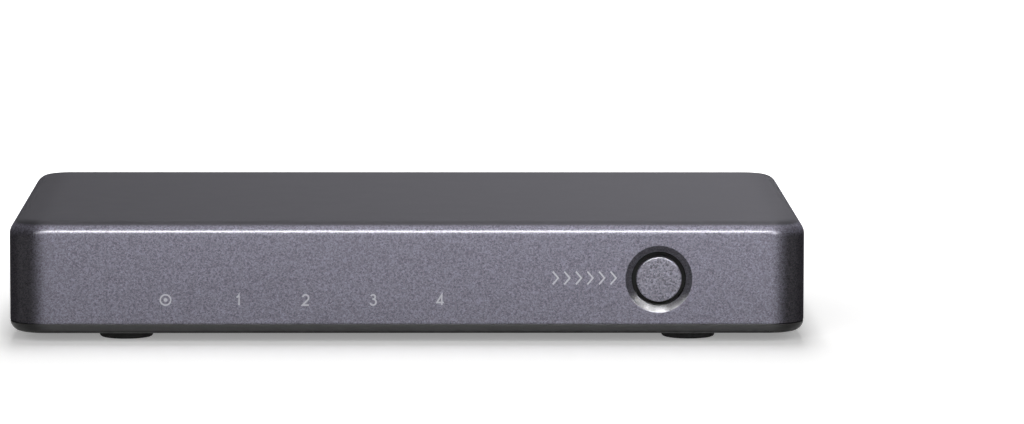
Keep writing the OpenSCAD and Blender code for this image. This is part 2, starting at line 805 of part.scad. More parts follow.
// Cross-head screw, standing head up on the plane it seats on
module screw(shank_d, shank_l, head_d, head_h) {
    slot_w = head_d / 7;
    slot_l = head_d * 0.6;
    slot_depth = head_h / 2;
    difference() {
        union() {
            cylinder(d = head_d, h = head_h);
            translate([0, 0, -shank_l])
                cylinder(d = shank_d, h = shank_l + head_h / 4);
        }
        for (turn = [0, 90])
            rotate([0, 0, turn])
                translate([-slot_l / 2, -slot_w / 2, head_h - slot_depth])
                    cube([slot_l, slot_w, head_h]);
    }
}

module base_screws() {
    color([0.2, 0.2, 0.21])
        for (p = screw_places)
            translate([p[0], p[1], base_z + screw_seat_h])
                rotate([180, 0, 0])
                    screw(screw_d, screw_l, screw_head_d, screw_head_h);
}

module board_screws() {
    color([0.7, 0.7, 0.72])
        for (p = board_screw_places)
            translate([p[0], p[1], board_top_z])
                screw(board_screw_d, board_screw_l, board_screw_head_d, board_screw_head_h);
}

// Slot in the board for a lead of size w by d, centred on it
module lead_slot(w, d) {
    translate([-w / 2 - lead_gap, -d / 2 - lead_gap, -board_t - sink])
        cube([w + 2 * lead_gap, d + 2 * lead_gap, board_t + 2 * sink]);
}

// Round hole in the board for a lead of radius r
module lead_hole(r) {
    translate([0, 0, -board_t - sink])
        cylinder(r = r + lead_gap, h = board_t + 2 * sink);
}

module main_board() {
    color([0.05, 0.28, 0.16])
        difference() {
            translate([0, (board_front_y + board_rear_y) / 2, board_low_z])
                rounded_plate(board_w, board_rear_y - board_front_y, board_t, board_corner_r);
            for (p = board_screw_places)
                translate([p[0], p[1], board_top_z])
                    lead_hole(board_screw_d / 2);
            for (x = hdmi_x) for (y = leg_y) for (sx = [-1, 1])
                translate([x + sx * (hdmi_w - leg_t) / 2, hdmi_mouth_y + y, board_top_z])
                    lead_slot(leg_t, leg_w);
            translate([dc_x, rear_y - dc_l - leaf_t, board_top_z])
                lead_slot(dc_shank_d, leaf_t);
            translate([dc_x, rear_y + leaf_leg_y, board_top_z])
                lead_slot(leaf_w, leaf_t);
            translate([button_x, board_front_y, board_top_z]) {
                for (sx = [-1, 1]) {
                    translate([sx * (bracket_x + bracket_t / 2), bracket_leg_y + bracket_leg_w / 2, 0])
                        lead_slot(bracket_t, bracket_leg_w);
                    translate([sx * terminal_x, terminal_y, 0])
                        lead_hole(terminal_r);
                }
            }
            for (i = [-1:1])
                translate([ir_x + i * ir_pitch, board_front_y + ir_set_back + ir_d / 2, board_top_z])
                    lead_hole(ir_lead_r);
        }
}

// Spring finger of a socket's shell, rooted in the sheet behind its window and bent into the socket
module spring_finger() {
    crest = spring_l * 0.7;
    rotate([90, 0, 90])
        linear_extrude(spring_w, center = true)
            polygon([
                [-hdmi_sheet, 0], [-hdmi_sheet, -hdmi_sheet], [0, -hdmi_sheet],
                [crest, -hdmi_sheet - spring_dip], [spring_l, -hdmi_sheet - spring_dip / 3],
                [spring_l, -spring_dip / 3], [crest, -spring_dip], [0, 0]
            ]);
}

// Metal shell of a video socket, with four legs through the board
module hdmi_shell(i) {
    window_rear = -spring_window_back - spring_window_l;
    color([0.75, 0.75, 0.77])
        translate([hdmi_x[i], hdmi_mouth_y, board_top_z]) {
            difference() {
                union() {
                    rotate([90, 0, 0])
                        linear_extrude(hdmi_l)
                            socket_outline(0);
                    for (sx = [-1, 1]) for (y = leg_y)
                        translate([sx * (hdmi_w - leg_t) / 2 - leg_t / 2, y - leg_w / 2, lead_z])
                            cube([leg_t, leg_w, hdmi_low_cut + leg_lap - lead_z]);
                }
                translate([0, sink, 0])
                    rotate([90, 0, 0])
                        linear_extrude(hdmi_l + 2 * sink)
                            socket_outline(hdmi_sheet);
                for (sx = [-1, 1])
                    translate([sx * spring_x - spring_window_w / 2, window_rear, hdmi_h / 2])
                        cube([spring_window_w, spring_window_l, hdmi_h]);
            }
            for (sx = [-1, 1])
                translate([sx * spring_x, window_rear, hdmi_h])
                    spring_finger();
        }
}

// Contact blade that runs along the tongue, down behind the block, and ends in a solder foot
module contact(z) {
    fore = -hdmi_l - tail_gap;
    aft = fore - contact_t;
    rotate([90, 0, 90])
        linear_extrude(contact_w, center = true)
            polygon([
                [contact_tip_y, z], [contact_tip_y, z + contact_t], [aft, z + contact_t],
                [aft, contact_t], [aft - contact_foot, contact_t], [aft - contact_foot, 0],
                [fore, 0], [fore, z]
            ]);
}

module hdmi_contacts(i) {
    color([0.85, 0.68, 0.3])
        translate([hdmi_x[i], hdmi_mouth_y, board_top_z])
            for (c = contact_rows)
                translate([c[0], 0, 0])
                    contact(c[1]);
}

// Insulator: a block that fills the back of the shell, and the tongue in front of it
module hdmi_insulator(i) {
    channel_l = hdmi_l + contact_tip_y + contact_gap + sink;
    color([0.06, 0.06, 0.06])
        translate([hdmi_x[i], hdmi_mouth_y, board_top_z])
            difference() {
                union() {
                    translate([0, block_l - hdmi_l, 0])
                        rotate([90, 0, 0])
                            linear_extrude(block_l)
                                socket_outline(hdmi_sheet + contact_gap);
                    translate([-tongue_w / 2, sink / 2 - hdmi_l, tongue_z - tongue_t / 2])
                        cube([tongue_w, hdmi_l - tongue_back - sink / 2, tongue_t]);
                }
                for (c = contact_rows)
                    translate([
                        c[0] - contact_w / 2 - contact_gap, -hdmi_l - sink, c[1] - contact_gap
                    ])
                        cube([contact_w + 2 * contact_gap, channel_l, contact_t + 2 * contact_gap]);
            }
}

// Power socket: a front block, and a barrel on a foot behind it
module dc_jack_body() {
    foot_w = dc_barrel_d - 2 * dc_foot_inset;
    color([0.07, 0.07, 0.07])
        translate([dc_x, rear_y, board_top_z])
            difference() {
                union() {
                    translate([-dc_w / 2, -dc_front_l, 0])
                        cube([dc_w, dc_front_l, dc_h]);
                    translate([0, sink - dc_front_l, dc_axis_h])
                        rotate([90, 0, 0])
                            cylinder(d = dc_barrel_d, h = dc_l - dc_front_l + sink);
                    translate([-foot_w / 2, -dc_l, 0])
                        cube([foot_w, dc_l - dc_front_l + sink, dc_axis_h]);
                }
                translate([0, sink, dc_axis_h])
                    rotate([90, 0, 0])
                        cylinder(d = dc_bore_d, h = dc_bore_l + sink);
                translate([0, 0, dc_axis_h])
                    rotate([90, 0, 0])
                        cylinder(r = dc_shank_d / 2 + thread_gap, h = dc_l + sink);
                translate([-leaf_w / 2 - leaf_gap, leaf_leg_y - leaf_t / 2 - leaf_gap, -sink])
                    cube([
                        leaf_w + 2 * leaf_gap, leaf_end_y - leaf_leg_y + leaf_t / 2 + 2 * leaf_gap,
                        dc_axis_h - dc_bore_d / 4 + sink
                    ]);
            }
}

module dc_jack_pin() {
    pin_edge_r = dc_pin_d * 0.35;
    tail_t = leaf_t;
    tail_y = -dc_l - leaf_t * 1.5;
    color([0.78, 0.78, 0.8])
        translate([dc_x, rear_y, board_top_z]) {
            translate([0, tail_y + tail_t / 2, dc_axis_h])
                rotate([-90, 0, 0])
                    rotate_extrude() {
                        square([dc_shank_d / 2, -tail_y - dc_bore_l]);
                        translate([0, -tail_y - tail_t / 2 - dc_bore_l])
                            rolled_half(dc_pin_d / 2, dc_pin_l, pin_edge_r, 0);
                    }
            translate([-dc_shank_d / 2, tail_y, lead_z])
                cube([dc_shank_d, tail_t, dc_axis_h + dc_shank_d - lead_z]);
        }
}

module dc_jack_contact() {
    mid_y = (leaf_leg_y + leaf_end_y) / 2;
    crest_z = dc_axis_h - dc_bore_d / 2 + leaf_rise;
    fore = leaf_leg_y + leaf_t / 2;
    aft = leaf_leg_y - leaf_t / 2;
    color([0.78, 0.78, 0.8])
        translate([dc_x, rear_y, board_top_z])
            rotate([90, 0, 90])
                linear_extrude(leaf_w, center = true)
                    polygon([
                        [aft, lead_z], [fore, lead_z], [fore, leaf_low_z], [mid_y, crest_z - leaf_t],
                        [leaf_end_y, leaf_low_z], [leaf_end_y, leaf_low_z + leaf_t], [mid_y, crest_z],
                        [aft, leaf_low_z + leaf_t]
                    ]);
}

module select_button() {
    color([0.5, 0.49, 0.54])
        translate([button_x, plunger_tip_y, axis_z])
            rotate([90, 0, 0])
                rotate_extrude() {
                    square([stem_d / 2, stem_l + flange_t / 2]);
                    translate([0, stem_l])
                        square([flange_r, flange_t]);
                    translate([0, stem_l + flange_t])
                        rolled_half(cap_r, cap_l, button_edge_r, 0);
                }
}

module switch_plunger() {
    base_back = bracket_t + plunger_gap + plunger_base_t;
    color([0.85, 0.85, 0.82])
        translate([button_x, board_front_y + base_back, axis_z])
            rotate([90, 0, 0])
                rotate_extrude() {
                    square([plunger_base_r, plunger_base_t]);
                    square([plunger_r, base_back + plunger_proud]);
                }
}

module switch_dome() {
    color([0.8, 0.8, 0.8])
        translate([button_x, board_front_y + chamber_y, axis_z])
            rotate([90, 0, 0])
                rotate_extrude()
                    intersection() {
                        translate([0, dome_rise - dome_sphere_r])
                            difference() {
                                circle(dome_sphere_r);
                                circle(dome_sphere_r - dome_t);
                            }
                        square([chamber_r, dome_rise]);
                    }
}

module switch_body() {
    color([0.08, 0.08, 0.08])
        difference() {
            translate([button_x - switch_w / 2, board_front_y + bracket_t, board_top_z])
                cube([switch_w, switch_d, switch_top_h]);
            press_cylinder(chamber_r, board_front_y, chamber_y);
        }
}

module switch_bracket() {
    color([0.72, 0.72, 0.74])
        difference() {
            translate([button_x, board_front_y, board_top_z]) {
                translate([-bracket_x - bracket_t, 0, 0])
                    cube([2 * (bracket_x + bracket_t), bracket_t, switch_top_h]);
                for (side = [-bracket_x - bracket_t, bracket_x]) {
                    translate([side, 0, 0])
                        cube([bracket_t, cheek_d, switch_axis_h]);
                    translate([side, bracket_leg_y, lead_z])
                        cube([bracket_t, bracket_leg_w, switch_axis_h - lead_z]);
                }
            }
            press_cylinder(plunger_hole_r, board_front_y - sink, bracket_t + 2 * sink);
        }
}

module switch_terminals() {
    color([0.78, 0.78, 0.8])
        for (sx = [-1, 1])
            translate([button_x + sx * terminal_x, board_front_y + terminal_y, board_top_z + lead_z])
                cylinder(r = terminal_r, h = lead_drop);
}

module ir_receiver() {
    lens_y = board_front_y + ir_set_back + ir_lens_r - ir_lens_proud;
    color([0.1, 0.06, 0.07]) {
        translate([ir_x - ir_w / 2, board_front_y + ir_set_back, board_top_z])
            cube([ir_w, ir_d, ir_h]);
        translate([ir_x, lens_y, board_top_z + ir_lens_h])
            sphere(ir_lens_r);
    }
}

module ir_receiver_leads() {
    color([0.78, 0.78, 0.8])
        for (i = [-1:1])
            translate([ir_x + i * ir_pitch, board_front_y + ir_set_back + ir_d / 2, board_top_z + lead_z])
                cylinder(r = ir_lead_r, h = lead_drop);
}

module light_guide() {
    bar_h = window_h - 2 * guide_gap;
    prong_w = window_w - 2 * guide_gap;
    prong_y = front_in_y - window_depth + guide_gap;
    bar_y = front_in_y + guide_gap;
    color([0.9, 0.93, 0.95]) {
        translate([numeral_x - prong_w / 2, bar_y, numeral_z - bar_h / 2])
            cube([3 * numeral_pitch + prong_w, guide_t, bar_h]);
        for (x = numeral_places)
            translate([x - prong_w / 2, prong_y, numeral_z - bar_h / 2])
                cube([prong_w, bar_y - prong_y + guide_t / 2, bar_h]);
    }
}

module indicator_led(i) {
    color([0.95, 0.95, 0.92])
        translate([numeral_places[i], board_front_y, board_top_z]) {
            translate([-led_w / 2, 0, 0])
                cube([led_w, led_d, led_h]);
            translate([0, led_d / 2, led_h / 2])
                rotate([90, 0, 0])
                    cylinder(d = led_lens_d, h = led_d / 2 + led_lens_l);
        }
}

// Flat chip without leads, with a mark dimple at one corner
module hdmi_chip() {
    color([0.1, 0.1, 0.11])
        translate([hdmi_chip_at[0], hdmi_chip_at[1], board_top_z])
            difference() {
                translate([-hdmi_chip_w / 2, -hdmi_chip_w / 2, 0])
                    cube([hdmi_chip_w, hdmi_chip_w, hdmi_chip_h]);
                translate([
                    dimple_inset - hdmi_chip_w / 2, hdmi_chip_w / 2 - dimple_inset, hdmi_chip_h - dimple_depth
                ])
                    cylinder(d = dimple_d, h = hdmi_chip_h);
            }
}

// Body of a package with bent leads, lifted a little off the board
module package_body(at, size) {
    translate([at[0] - size[0] / 2, at[1] - size[1] / 2, board_top_z + chip_lift])
        cube([size[0], size[1], size[2] - chip_lift]);
}

// Bent lead at a package's side, pointing along +Y from the side's face
module package_lead(w) {
    step = package_lead_l * 0.35;
    rotate([90, 0, 90])
        linear_extrude(w, center = true)
            polygon([
                [0, package_lead_z], [step + package_lead_t, package_lead_z],
                [step + package_lead_t, package_lead_t], [package_lead_l, package_lead_t],
                [package_lead_l, 0], [step, 0], [step, package_lead_z - package_lead_t],
                [0, package_lead_z - package_lead_t]
            ]);
}

// Row of bent leads along one side of a package; side is 1 at the rear and -1 at the front
module lead_row(at, size, side, count, pitch, w) {
    for (i = [0:count - 1])
        translate([at[0] + (i - (count - 1) / 2) * pitch, at[1] + side * size[1] / 2, board_top_z])
            mirror([0, side < 0 ? 1 : 0, 0])
                package_lead(w);
}

module microcontroller() {
    color([0.1, 0.1, 0.11])
        package_body(controller_at, controller_size);
}

module memory_chips() {
    color([0.1, 0.1, 0.11])
        for (at = memory_at)
            package_body(at, memory_size);
}

module regulator() {
    color([0.1, 0.1, 0.11])
        package_body(regulator_at, regulator_size);
}

module chip_leads() {
    color([0.75, 0.75, 0.77]) {
        for (side = [-1, 1]) {
            lead_row(controller_at, controller_size, side, 10, package_pitch, package_lead_w);
            for (at = memory_at)
                lead_row(at, memory_size, side, 4, package_pitch, package_lead_w);
        }
        lead_row(regulator_at, regulator_size, -1, 3, regulator_pitch, regulator_lead_w);
        lead_row(regulator_at, regulator_size, 1, 1, regulator_pitch, regulator_tab_w);
    }
}

module crystal() {
    color([0.75, 0.75, 0.77])
        translate([crystal_at[0], crystal_at[1], board_top_z])
            linear_extrude(crystal_h)
                union() {
                    square([crystal_l - crystal_d, crystal_d], center = true);
                    for (sx = [-1, 1])
                        translate([sx * (crystal_l - crystal_d) / 2, 0])
                            circle(d = crystal_d);
                }
}

module power_inductor() {
    color([0.25, 0.25, 0.26])
        translate([inductor_at[0], inductor_at[1], board_top_z]) {
            translate([-inductor_w / 2, -inductor_w / 2, 0])
                cube([inductor_w, inductor_w, inductor_base_h]);
            cylinder(d = inductor_core_d, h = inductor_h);
        }
}

module electrolytic_capacitors() {
    color([0.7, 0.7, 0.72])
        for (at = capacitor_at)
            translate([at[0], at[1], board_top_z]) {
                translate([-capacitor_w / 2, -capacitor_w / 2, 0])
                    cube([capacitor_w, capacitor_w, capacitor_base_h]);
                cylinder(d = capacitor_d, h = capacitor_h);
            }
}

module surge_arrays() {
    color([0.1, 0.1, 0.11])
        for (at = surge_at)
            translate([at[0] - surge_size[0] / 2, at[1] - surge_size[1] / 2, board_top_z])
                cube(surge_size);
}

top_shell();
base_cover();
rear_panel();
foot(-1, -1);  // foot_front_left
foot(1, -1);  // foot_front_right
foot(-1, 1);  // foot_rear_left
foot(1, 1);  // foot_rear_right
base_screws();
main_board();
board_screws();
hdmi_shell(0);  // hdmi_in_1_shell
hdmi_shell(1);  // hdmi_in_2_shell
hdmi_shell(2);  // hdmi_in_3_shell
hdmi_shell(3);  // hdmi_in_4_shell
hdmi_shell(4);  // hdmi_out_shell
hdmi_insulator(0);  // hdmi_in_1_insulator
hdmi_insulator(1);  // hdmi_in_2_insulator
hdmi_insulator(2);  // hdmi_in_3_insulator
hdmi_insulator(3);  // hdmi_in_4_insulator
hdmi_insulator(4);  // hdmi_out_insulator
hdmi_contacts(0);  // hdmi_in_1_contacts
hdmi_contacts(1);  // hdmi_in_2_contacts
hdmi_contacts(2);  // hdmi_in_3_contacts
hdmi_contacts(3);  // hdmi_in_4_contacts
hdmi_contacts(4);  // hdmi_out_contacts
dc_jack_body();
dc_jack_pin();
dc_jack_contact();
select_button();
switch_plunger();
switch_dome();
switch_body();
switch_bracket();
switch_terminals();
ir_receiver();
ir_receiver_leads();
light_guide();
indicator_led(0);  // indicator_led_1
indicator_led(1);  // indicator_led_2
indicator_led(2);  // indicator_led_3
indicator_led(3);  // indicator_led_4
hdmi_chip();
microcontroller();
memory_chips();
regulator();
chip_leads();
crystal();
power_inductor();
electrolytic_capacitors();
surge_arrays();
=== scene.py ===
"""Dresses a four-input video switch box: fine meshes, finishes, studio light and camera.

Sizes and places are in millimetres and angles in degrees, unless a docstring says otherwise.
"""

import json
import logging
import math
from collections.abc import Callable, Sequence
from dataclasses import dataclass, field, replace
from enum import Enum

import bmesh
import bpy
from mathutils import Matrix, Quaternion, Vector


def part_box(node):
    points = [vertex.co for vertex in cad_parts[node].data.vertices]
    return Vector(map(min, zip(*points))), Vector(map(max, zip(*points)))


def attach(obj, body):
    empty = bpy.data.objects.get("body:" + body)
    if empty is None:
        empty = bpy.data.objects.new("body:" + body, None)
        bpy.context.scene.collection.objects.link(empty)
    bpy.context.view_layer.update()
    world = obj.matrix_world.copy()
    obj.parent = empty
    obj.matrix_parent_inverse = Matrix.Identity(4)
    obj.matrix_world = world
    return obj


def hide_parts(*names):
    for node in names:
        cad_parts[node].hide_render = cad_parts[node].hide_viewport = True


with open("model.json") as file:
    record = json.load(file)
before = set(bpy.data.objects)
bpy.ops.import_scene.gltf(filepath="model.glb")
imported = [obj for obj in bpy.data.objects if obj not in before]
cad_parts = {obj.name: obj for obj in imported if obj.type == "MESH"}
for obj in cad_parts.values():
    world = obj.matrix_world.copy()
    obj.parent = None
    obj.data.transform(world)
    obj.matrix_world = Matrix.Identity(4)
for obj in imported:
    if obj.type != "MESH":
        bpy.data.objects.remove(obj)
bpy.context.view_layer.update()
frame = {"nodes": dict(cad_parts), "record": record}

LOG = logging.getLogger("switch_box")
MM = 0.001
FEET = ("foot_front_left", "foot_front_right", "foot_rear_left", "foot_rear_right")
# Turns what is drawn flat to stand upright and face the front.
UPRIGHT = Matrix.Rotation(math.radians(90), 4, "X")
# How far a cutter runs past a face.
PAST = 1.0
# Steps across a rounded edge, and how strongly flat faces keep their shading beside it.
EDGE_STEPS = 3
FLAT_WEIGHT = 80
# Range in which most of a noise pattern lies.
NOISE_SPAN = (0.25, 0.75)
# Ends of a lamp that is equally strong all over.
EVEN = (1.0, 1.0)

Point = tuple[float, float]
Span = tuple[float, float]
Place = tuple[float, float, float]
Stretch = tuple[float, float, float]
Ring = list[Vector]
Colour = tuple[float, float, float]
Solid = bmesh.types.BMesh
Piece = bpy.types.Object
Socket = bpy.types.NodeSocket
Material = bpy.types.Material


class Body(Enum):
    """CAD bodies that pieces ride on."""

    HOUSING = "housing"
    SELECT_KEY = "select_key"


class Slot(Enum):
    """Material slots of the record, one for each finish."""

    HOUSING_PAINT = "housing_paint"
    BUTTON_PAINT = "button_paint"
    BASE_PLASTIC = "base_plastic"
    PANEL_PLASTIC = "panel_plastic"
    FOOT_RUBBER = "foot_rubber"
    SCREW_STEEL = "screw_steel"
    BOARD_LAMINATE = "board_laminate"
    SOCKET_STEEL = "socket_steel"
    SOCKET_PLASTIC = "socket_plastic"
    GOLD_CONTACT = "gold_contact"
    PLATED_CONTACT = "plated_contact"
    SWITCH_PLASTIC = "switch_plastic"
    FILTER_PLASTIC = "filter_plastic"
    GUIDE_ACRYLIC = "guide_acrylic"
    LAMP_RESIN = "lamp_resin"
    CHIP_EPOXY = "chip_epoxy"
    INDUCTOR_FERRITE = "inductor_ferrite"
    CAPACITOR_CAN = "capacitor_can"


def arc(centre: Point, radius: float, start: float, end: float, steps: int) -> list[Point]:
    """Points along an arc.

    Args:
        centre: Middle of the arc.
        radius: Radius of the arc.
        start: First angle in degrees.
        end: Last angle in degrees.
        steps: Number of steps between the first and the last point.

    Returns:
        The points, first to last.
    """
    angles = [math.radians(start + (end - start) * i / steps) for i in range(steps + 1)]
    return [(centre[0] + radius * math.cos(a), centre[1] + radius * math.sin(a)) for a in angles]


def rounded_ring(width: float, depth: float, radius: float, z: float, steps: int = 16) -> Ring:
    """Level rectangle with round corners, centred on the upright axis.

    Args:
        width: Size along X.
        depth: Size along Y.
        radius: Radius of the corners.
        z: Height of the ring.
        steps: Steps round each corner.

    Returns:
        The ring's points, counter-clockwise from above.
    """
    points: Ring = []
    for turn, (sx, sy) in enumerate(((1, 1), (-1, 1), (-1, -1), (1, -1))):
        middle = (sx * (width / 2 - radius), sy * (depth / 2 - radius))
        corner = arc(middle, radius, 90 * turn, 90 * turn + 90, steps)
        points += [Vector((x, y, z)) for x, y in corner]
    return points


def round_ring(radius: float, z: float, sides: int) -> Ring:
    """Level circle round the upright axis."""
    return [Vector((x, y, z)) for x, y in arc((0, 0), radius, 0, 360 - 360 / sides, sides - 1)]


def loft(rings: Sequence[Ring]) -> Solid:
    """Solid through rings of equal length, closed by a face at each end.

    Args:
        rings: Rings in order, each with the same number of points.

    Returns:
        The solid, with its faces turned outwards.
    """
    solid = bmesh.new()
    rows = [[solid.verts.new(p) for p in ring] for ring in rings]
    for low, high in zip(rows, rows[1:]):
        for i in range(len(low)):
            j = (i + 1) % len(low)
            solid.faces.new((low[i], low[j], high[j], high[i]))
    solid.faces.new(rows[0])
    solid.faces.new(rows[-1])
    bmesh.ops.recalc_face_normals(solid, faces=solid.faces)
    return solid


def lathe(profile: Sequence[Point], sides: int = 96) -> Solid:
    """Solid of revolution from a profile of radius and height pairs."""
    return loft([round_ring(r, z, sides) for r, z in profile])


def block(low: Sequence[float], high: Sequence[float]) -> Solid:
    """Box between two corners, as a loft of two rectangles."""
    outline = ((low[0], low[1]), (high[0], low[1]), (high[0], high[1]), (low[0], high[1]))
    return loft([[Vector((x, y, z)) for x, y in outline] for z in (low[2], high[2])])


def prism(outline: Sequence[Point], low: float, high: float) -> Solid:
    """Upright solid with a given outline between two heights."""
    return loft([[Vector((x, y, z)) for x, y in outline] for z in (low, high)])


def moved(solid: Solid, place: Matrix) -> Solid:
    """The same solid after a transform in millimetres."""
    solid.transform(place)
    return solid


def joined(solids: Sequence[Solid]) -> Solid:
    """One mesh that holds several separate solids.

    Args:
        solids: The solids, which are used up.

    Returns:
        The mesh.
    """
    whole = bmesh.new()
    for solid in solids:
        part = bpy.data.meshes.new("part")
        solid.to_mesh(part)
        solid.free()
        whole.from_mesh(part)
        bpy.data.meshes.remove(part)
    return whole


def piece_of(solid: Solid, name: str) -> Piece:
    """Object in the scene, in metres, from a solid in millimetres.

    Args:
        solid: The solid, which is used up.
        name: Name of the new object.

    Returns:
        The object, linked to the scene.
    """
    solid.transform(Matrix.Scale(MM, 4))
    mesh = bpy.data.meshes.new(name)
    solid.to_mesh(mesh)
    solid.free()
    made = bpy.data.objects.new(name, mesh)
    bpy.context.scene.collection.objects.link(made)
    return made


def settle(piece: Piece) -> None:
    """Turns a piece's modifiers into its mesh.

    Args:
        piece: The piece.
    """
    view = bpy.context.evaluated_depsgraph_get()
    mesh = bpy.data.meshes.new_from_object(piece.evaluated_get(view), depsgraph=view)
    spent = piece.data
    piece.modifiers.clear()
    piece.data = mesh
    bpy.data.meshes.remove(spent)
    mesh.name = piece.name


def carve(piece: Piece, cutters: Sequence[Solid]) -> None:
    """Cuts solids out of a piece.

    Args:
        piece: The piece that is cut.
        cutters: Solids in millimetres, which are used up.
    """
    tools = [piece_of(cutter, f"{piece.name}_cutter") for cutter in cutters]
    for tool in tools:
        cut = piece.modifiers.new("cut", "BOOLEAN")
        cut.operation = "DIFFERENCE"
        cut.solver = "EXACT"
        cut.object = tool
    settle(piece)
    for tool in tools:
        bpy.data.objects.remove(tool)


def soften(piece: Piece, width: float, angle: float = 32, keep: bool = False) -> None:
    """Rounds a piece's hard edges and shades the rest smoothly.

    Args:
        piece: The piece.
        width: Width of the rounding in millimetres.
        angle: Edges that turn by more than this many degrees are rounded.
        keep: Leaves the rounding as a modifier, for a mesh that may not change.
    """
    edge = piece.modifiers.new("soft_edges", "BEVEL")
    edge.width = width * MM
    edge.segments = EDGE_STEPS
    edge.limit_method = "ANGLE"
    edge.angle_limit = math.radians(angle)
    edge.use_clamp_overlap = True
    edge.miter_outer = "MITER_ARC"
    if not keep:
        settle(piece)
        smooth(piece, angle)
    even = piece.modifiers.new("even_normals", "WEIGHTED_NORMAL")
    even.keep_sharp = True
    even.weight = FLAT_WEIGHT


def smooth(piece: Piece, angle: float = 32) -> None:
    """Shades a piece smoothly, apart from its sharp edges.

    Args:
        piece: The piece.
        angle: Edges that turn by more than this many degrees stay sharp.
    """
    for face in piece.data.polygons:
        face.use_smooth = True
    piece.data.set_sharp_from_angle(angle=math.radians(angle))


class Graph:
    """A material's shader nodes, added and linked by what they do."""

    def __init__(self, name: str) -> None:
        """Starts a material with one surface shader.

        Args:
            name: Name of the material.
        """
        self.material = bpy.data.materials.new(name)
        self.material.use_nodes = True
        self.tree = self.material.node_tree
        self.shader = self.tree.nodes["Principled BSDF"]
        self.output = self.tree.nodes["Material Output"]
        self.place = self.add("ShaderNodeTexCoord")

    def add(self, kind: str, **settings: object) -> bpy.types.ShaderNode:
        """New node of a kind, with its settings.

        Args:
            kind: Blender's name for the kind.
            settings: Values of the node's own settings.

        Returns:
            The node.
        """
        made = self.tree.nodes.new(kind)
        for key, value in settings.items():
            setattr(made, key, value)
        return made

    def link(self, source: Socket, target: Socket) -> None:
        """Joins two sockets."""
        self.tree.links.new(source, target)

    def set(self, **values: object) -> None:
        """Sets constant values on the surface shader.

        Args:
            values: Value for each socket, with _ for a space in its name.
        """
        for key, value in values.items():
            socket = self.shader.inputs[key.replace("_", " ")]
            is_colour = isinstance(value, tuple) and len(value) == 3
            socket.default_value = (*value, 1.0) if is_colour else value

    def noise(self, size: float, detail: float = 2.0, stretch: Stretch = (1, 1, 1)) -> Socket:
        """Soft random pattern.

        Args:
            size: Size of its features in millimetres.
            detail: Number of finer layers.
            stretch: Factors by which the pattern is denser along X, Y and Z.

        Returns:
            The socket with a value between 0 and 1.
        """
        scale = self.add("ShaderNodeMapping")
        scale.inputs["Scale"].default_value = stretch
        self.link(self.place.outputs["Object"], scale.inputs["Vector"])
        pattern = self.add("ShaderNodeTexNoise")
        pattern.inputs["Scale"].default_value = 1 / (size * MM)
        pattern.inputs["Detail"].default_value = detail
        self.link(scale.outputs["Vector"], pattern.inputs["Vector"])
        return pattern.outputs["Fac"]

    def cells(self, size: float) -> Socket:
        """Random value for each cell of a crystalline pattern.

        Args:
            size: Size of the cells in millimetres.

        Returns:
            The socket with a value between 0 and 1.
        """
        pattern = self.add("ShaderNodeTexVoronoi")
        pattern.inputs["Scale"].default_value = 1 / (size * MM)
        self.link(self.place.outputs["Object"], pattern.inputs["Vector"])
        parts = self.add("ShaderNodeSeparateColor")
        self.link(pattern.outputs["Color"], parts.inputs["Color"])
        return parts.outputs["Red"]

    def span(self, value: Socket, source: Span, target: Span) -> Socket:
        """Value carried smoothly from one range to another.

        Args:
            value: The value.
            source: Its range.
            target: The range that it is carried to.

        Returns:
            The socket with the carried value.
        """
        carry = self.add("ShaderNodeMapRange", interpolation_type="SMOOTHSTEP")
        carry.inputs["From Min"].default_value, carry.inputs["From Max"].default_value = source
        carry.inputs["To Min"].default_value, carry.inputs["To Max"].default_value = target
        self.link(value, carry.inputs["Value"])
        return carry.outputs["Result"]

    def ramp(self, value: Socket, colour: Colour, stops: Sequence[Point]) -> Socket:
        """Tones of one colour along a value.

        Args:
            value: Value between 0 and 1.
            colour: The colour.
            stops: Pairs of a place along the value and the factor on the colour there.

        Returns:
            The socket with the toned colour.
        """
        scale = self.add("ShaderNodeValToRGB")
        points = scale.color_ramp.elements
        while len(points) < len(stops):
            points.new(0.5)
        for point, (place, factor) in zip(points, stops):
            point.position = place
            point.color = (*shaded(colour, factor), 1.0)
        self.link(value, scale.inputs["Fac"])
        return scale.outputs["Color"]

    def distance(self, place: Place) -> Socket:
        """Distance in metres from a place in millimetres.

        Args:
            place: The place.

        Returns:
            The socket with the distance.
        """
        span = self.add("ShaderNodeVectorMath", operation="DISTANCE")
        span.inputs[1].default_value = Vector(place) * MM
        self.link(self.place.outputs["Object"], span.inputs[0])
        return span.outputs["Value"]

    def facing(self, axis: str) -> Socket:
        """How far the surface faces along X, Y or Z, from -1 to 1.

        Args:
            axis: X, Y or Z.

        Returns:
            The socket with the value.
        """
        parts = self.add("ShaderNodeSeparateXYZ")
        self.link(self.place.outputs["Normal"], parts.inputs["Vector"])
        return parts.outputs[axis]

    def blend(
        self,
        share: Socket,
        first: Colour | Socket,
        second: Colour | Socket,
        kind: str = "MIX",
    ) -> Socket:
        """Colour between two colours.

        Args:
            share: Share of the second colour.
            first: Colour at share 0.
            second: Colour at share 1, or the factor on the first colour there.
            kind: MIX for a second colour, MULTIPLY for a factor.

        Returns:
            The socket with the colour.
        """
        mix = self.add("ShaderNodeMix", data_type="RGBA", blend_type=kind)
        self.link(share, mix.inputs["Factor"])
        for socket, value in ((mix.inputs[6], first), (mix.inputs[7], second)):
            if isinstance(value, Socket):
                self.link(value, socket)
            else:
                socket.default_value = (*value, 1.0)
        return mix.outputs[2]

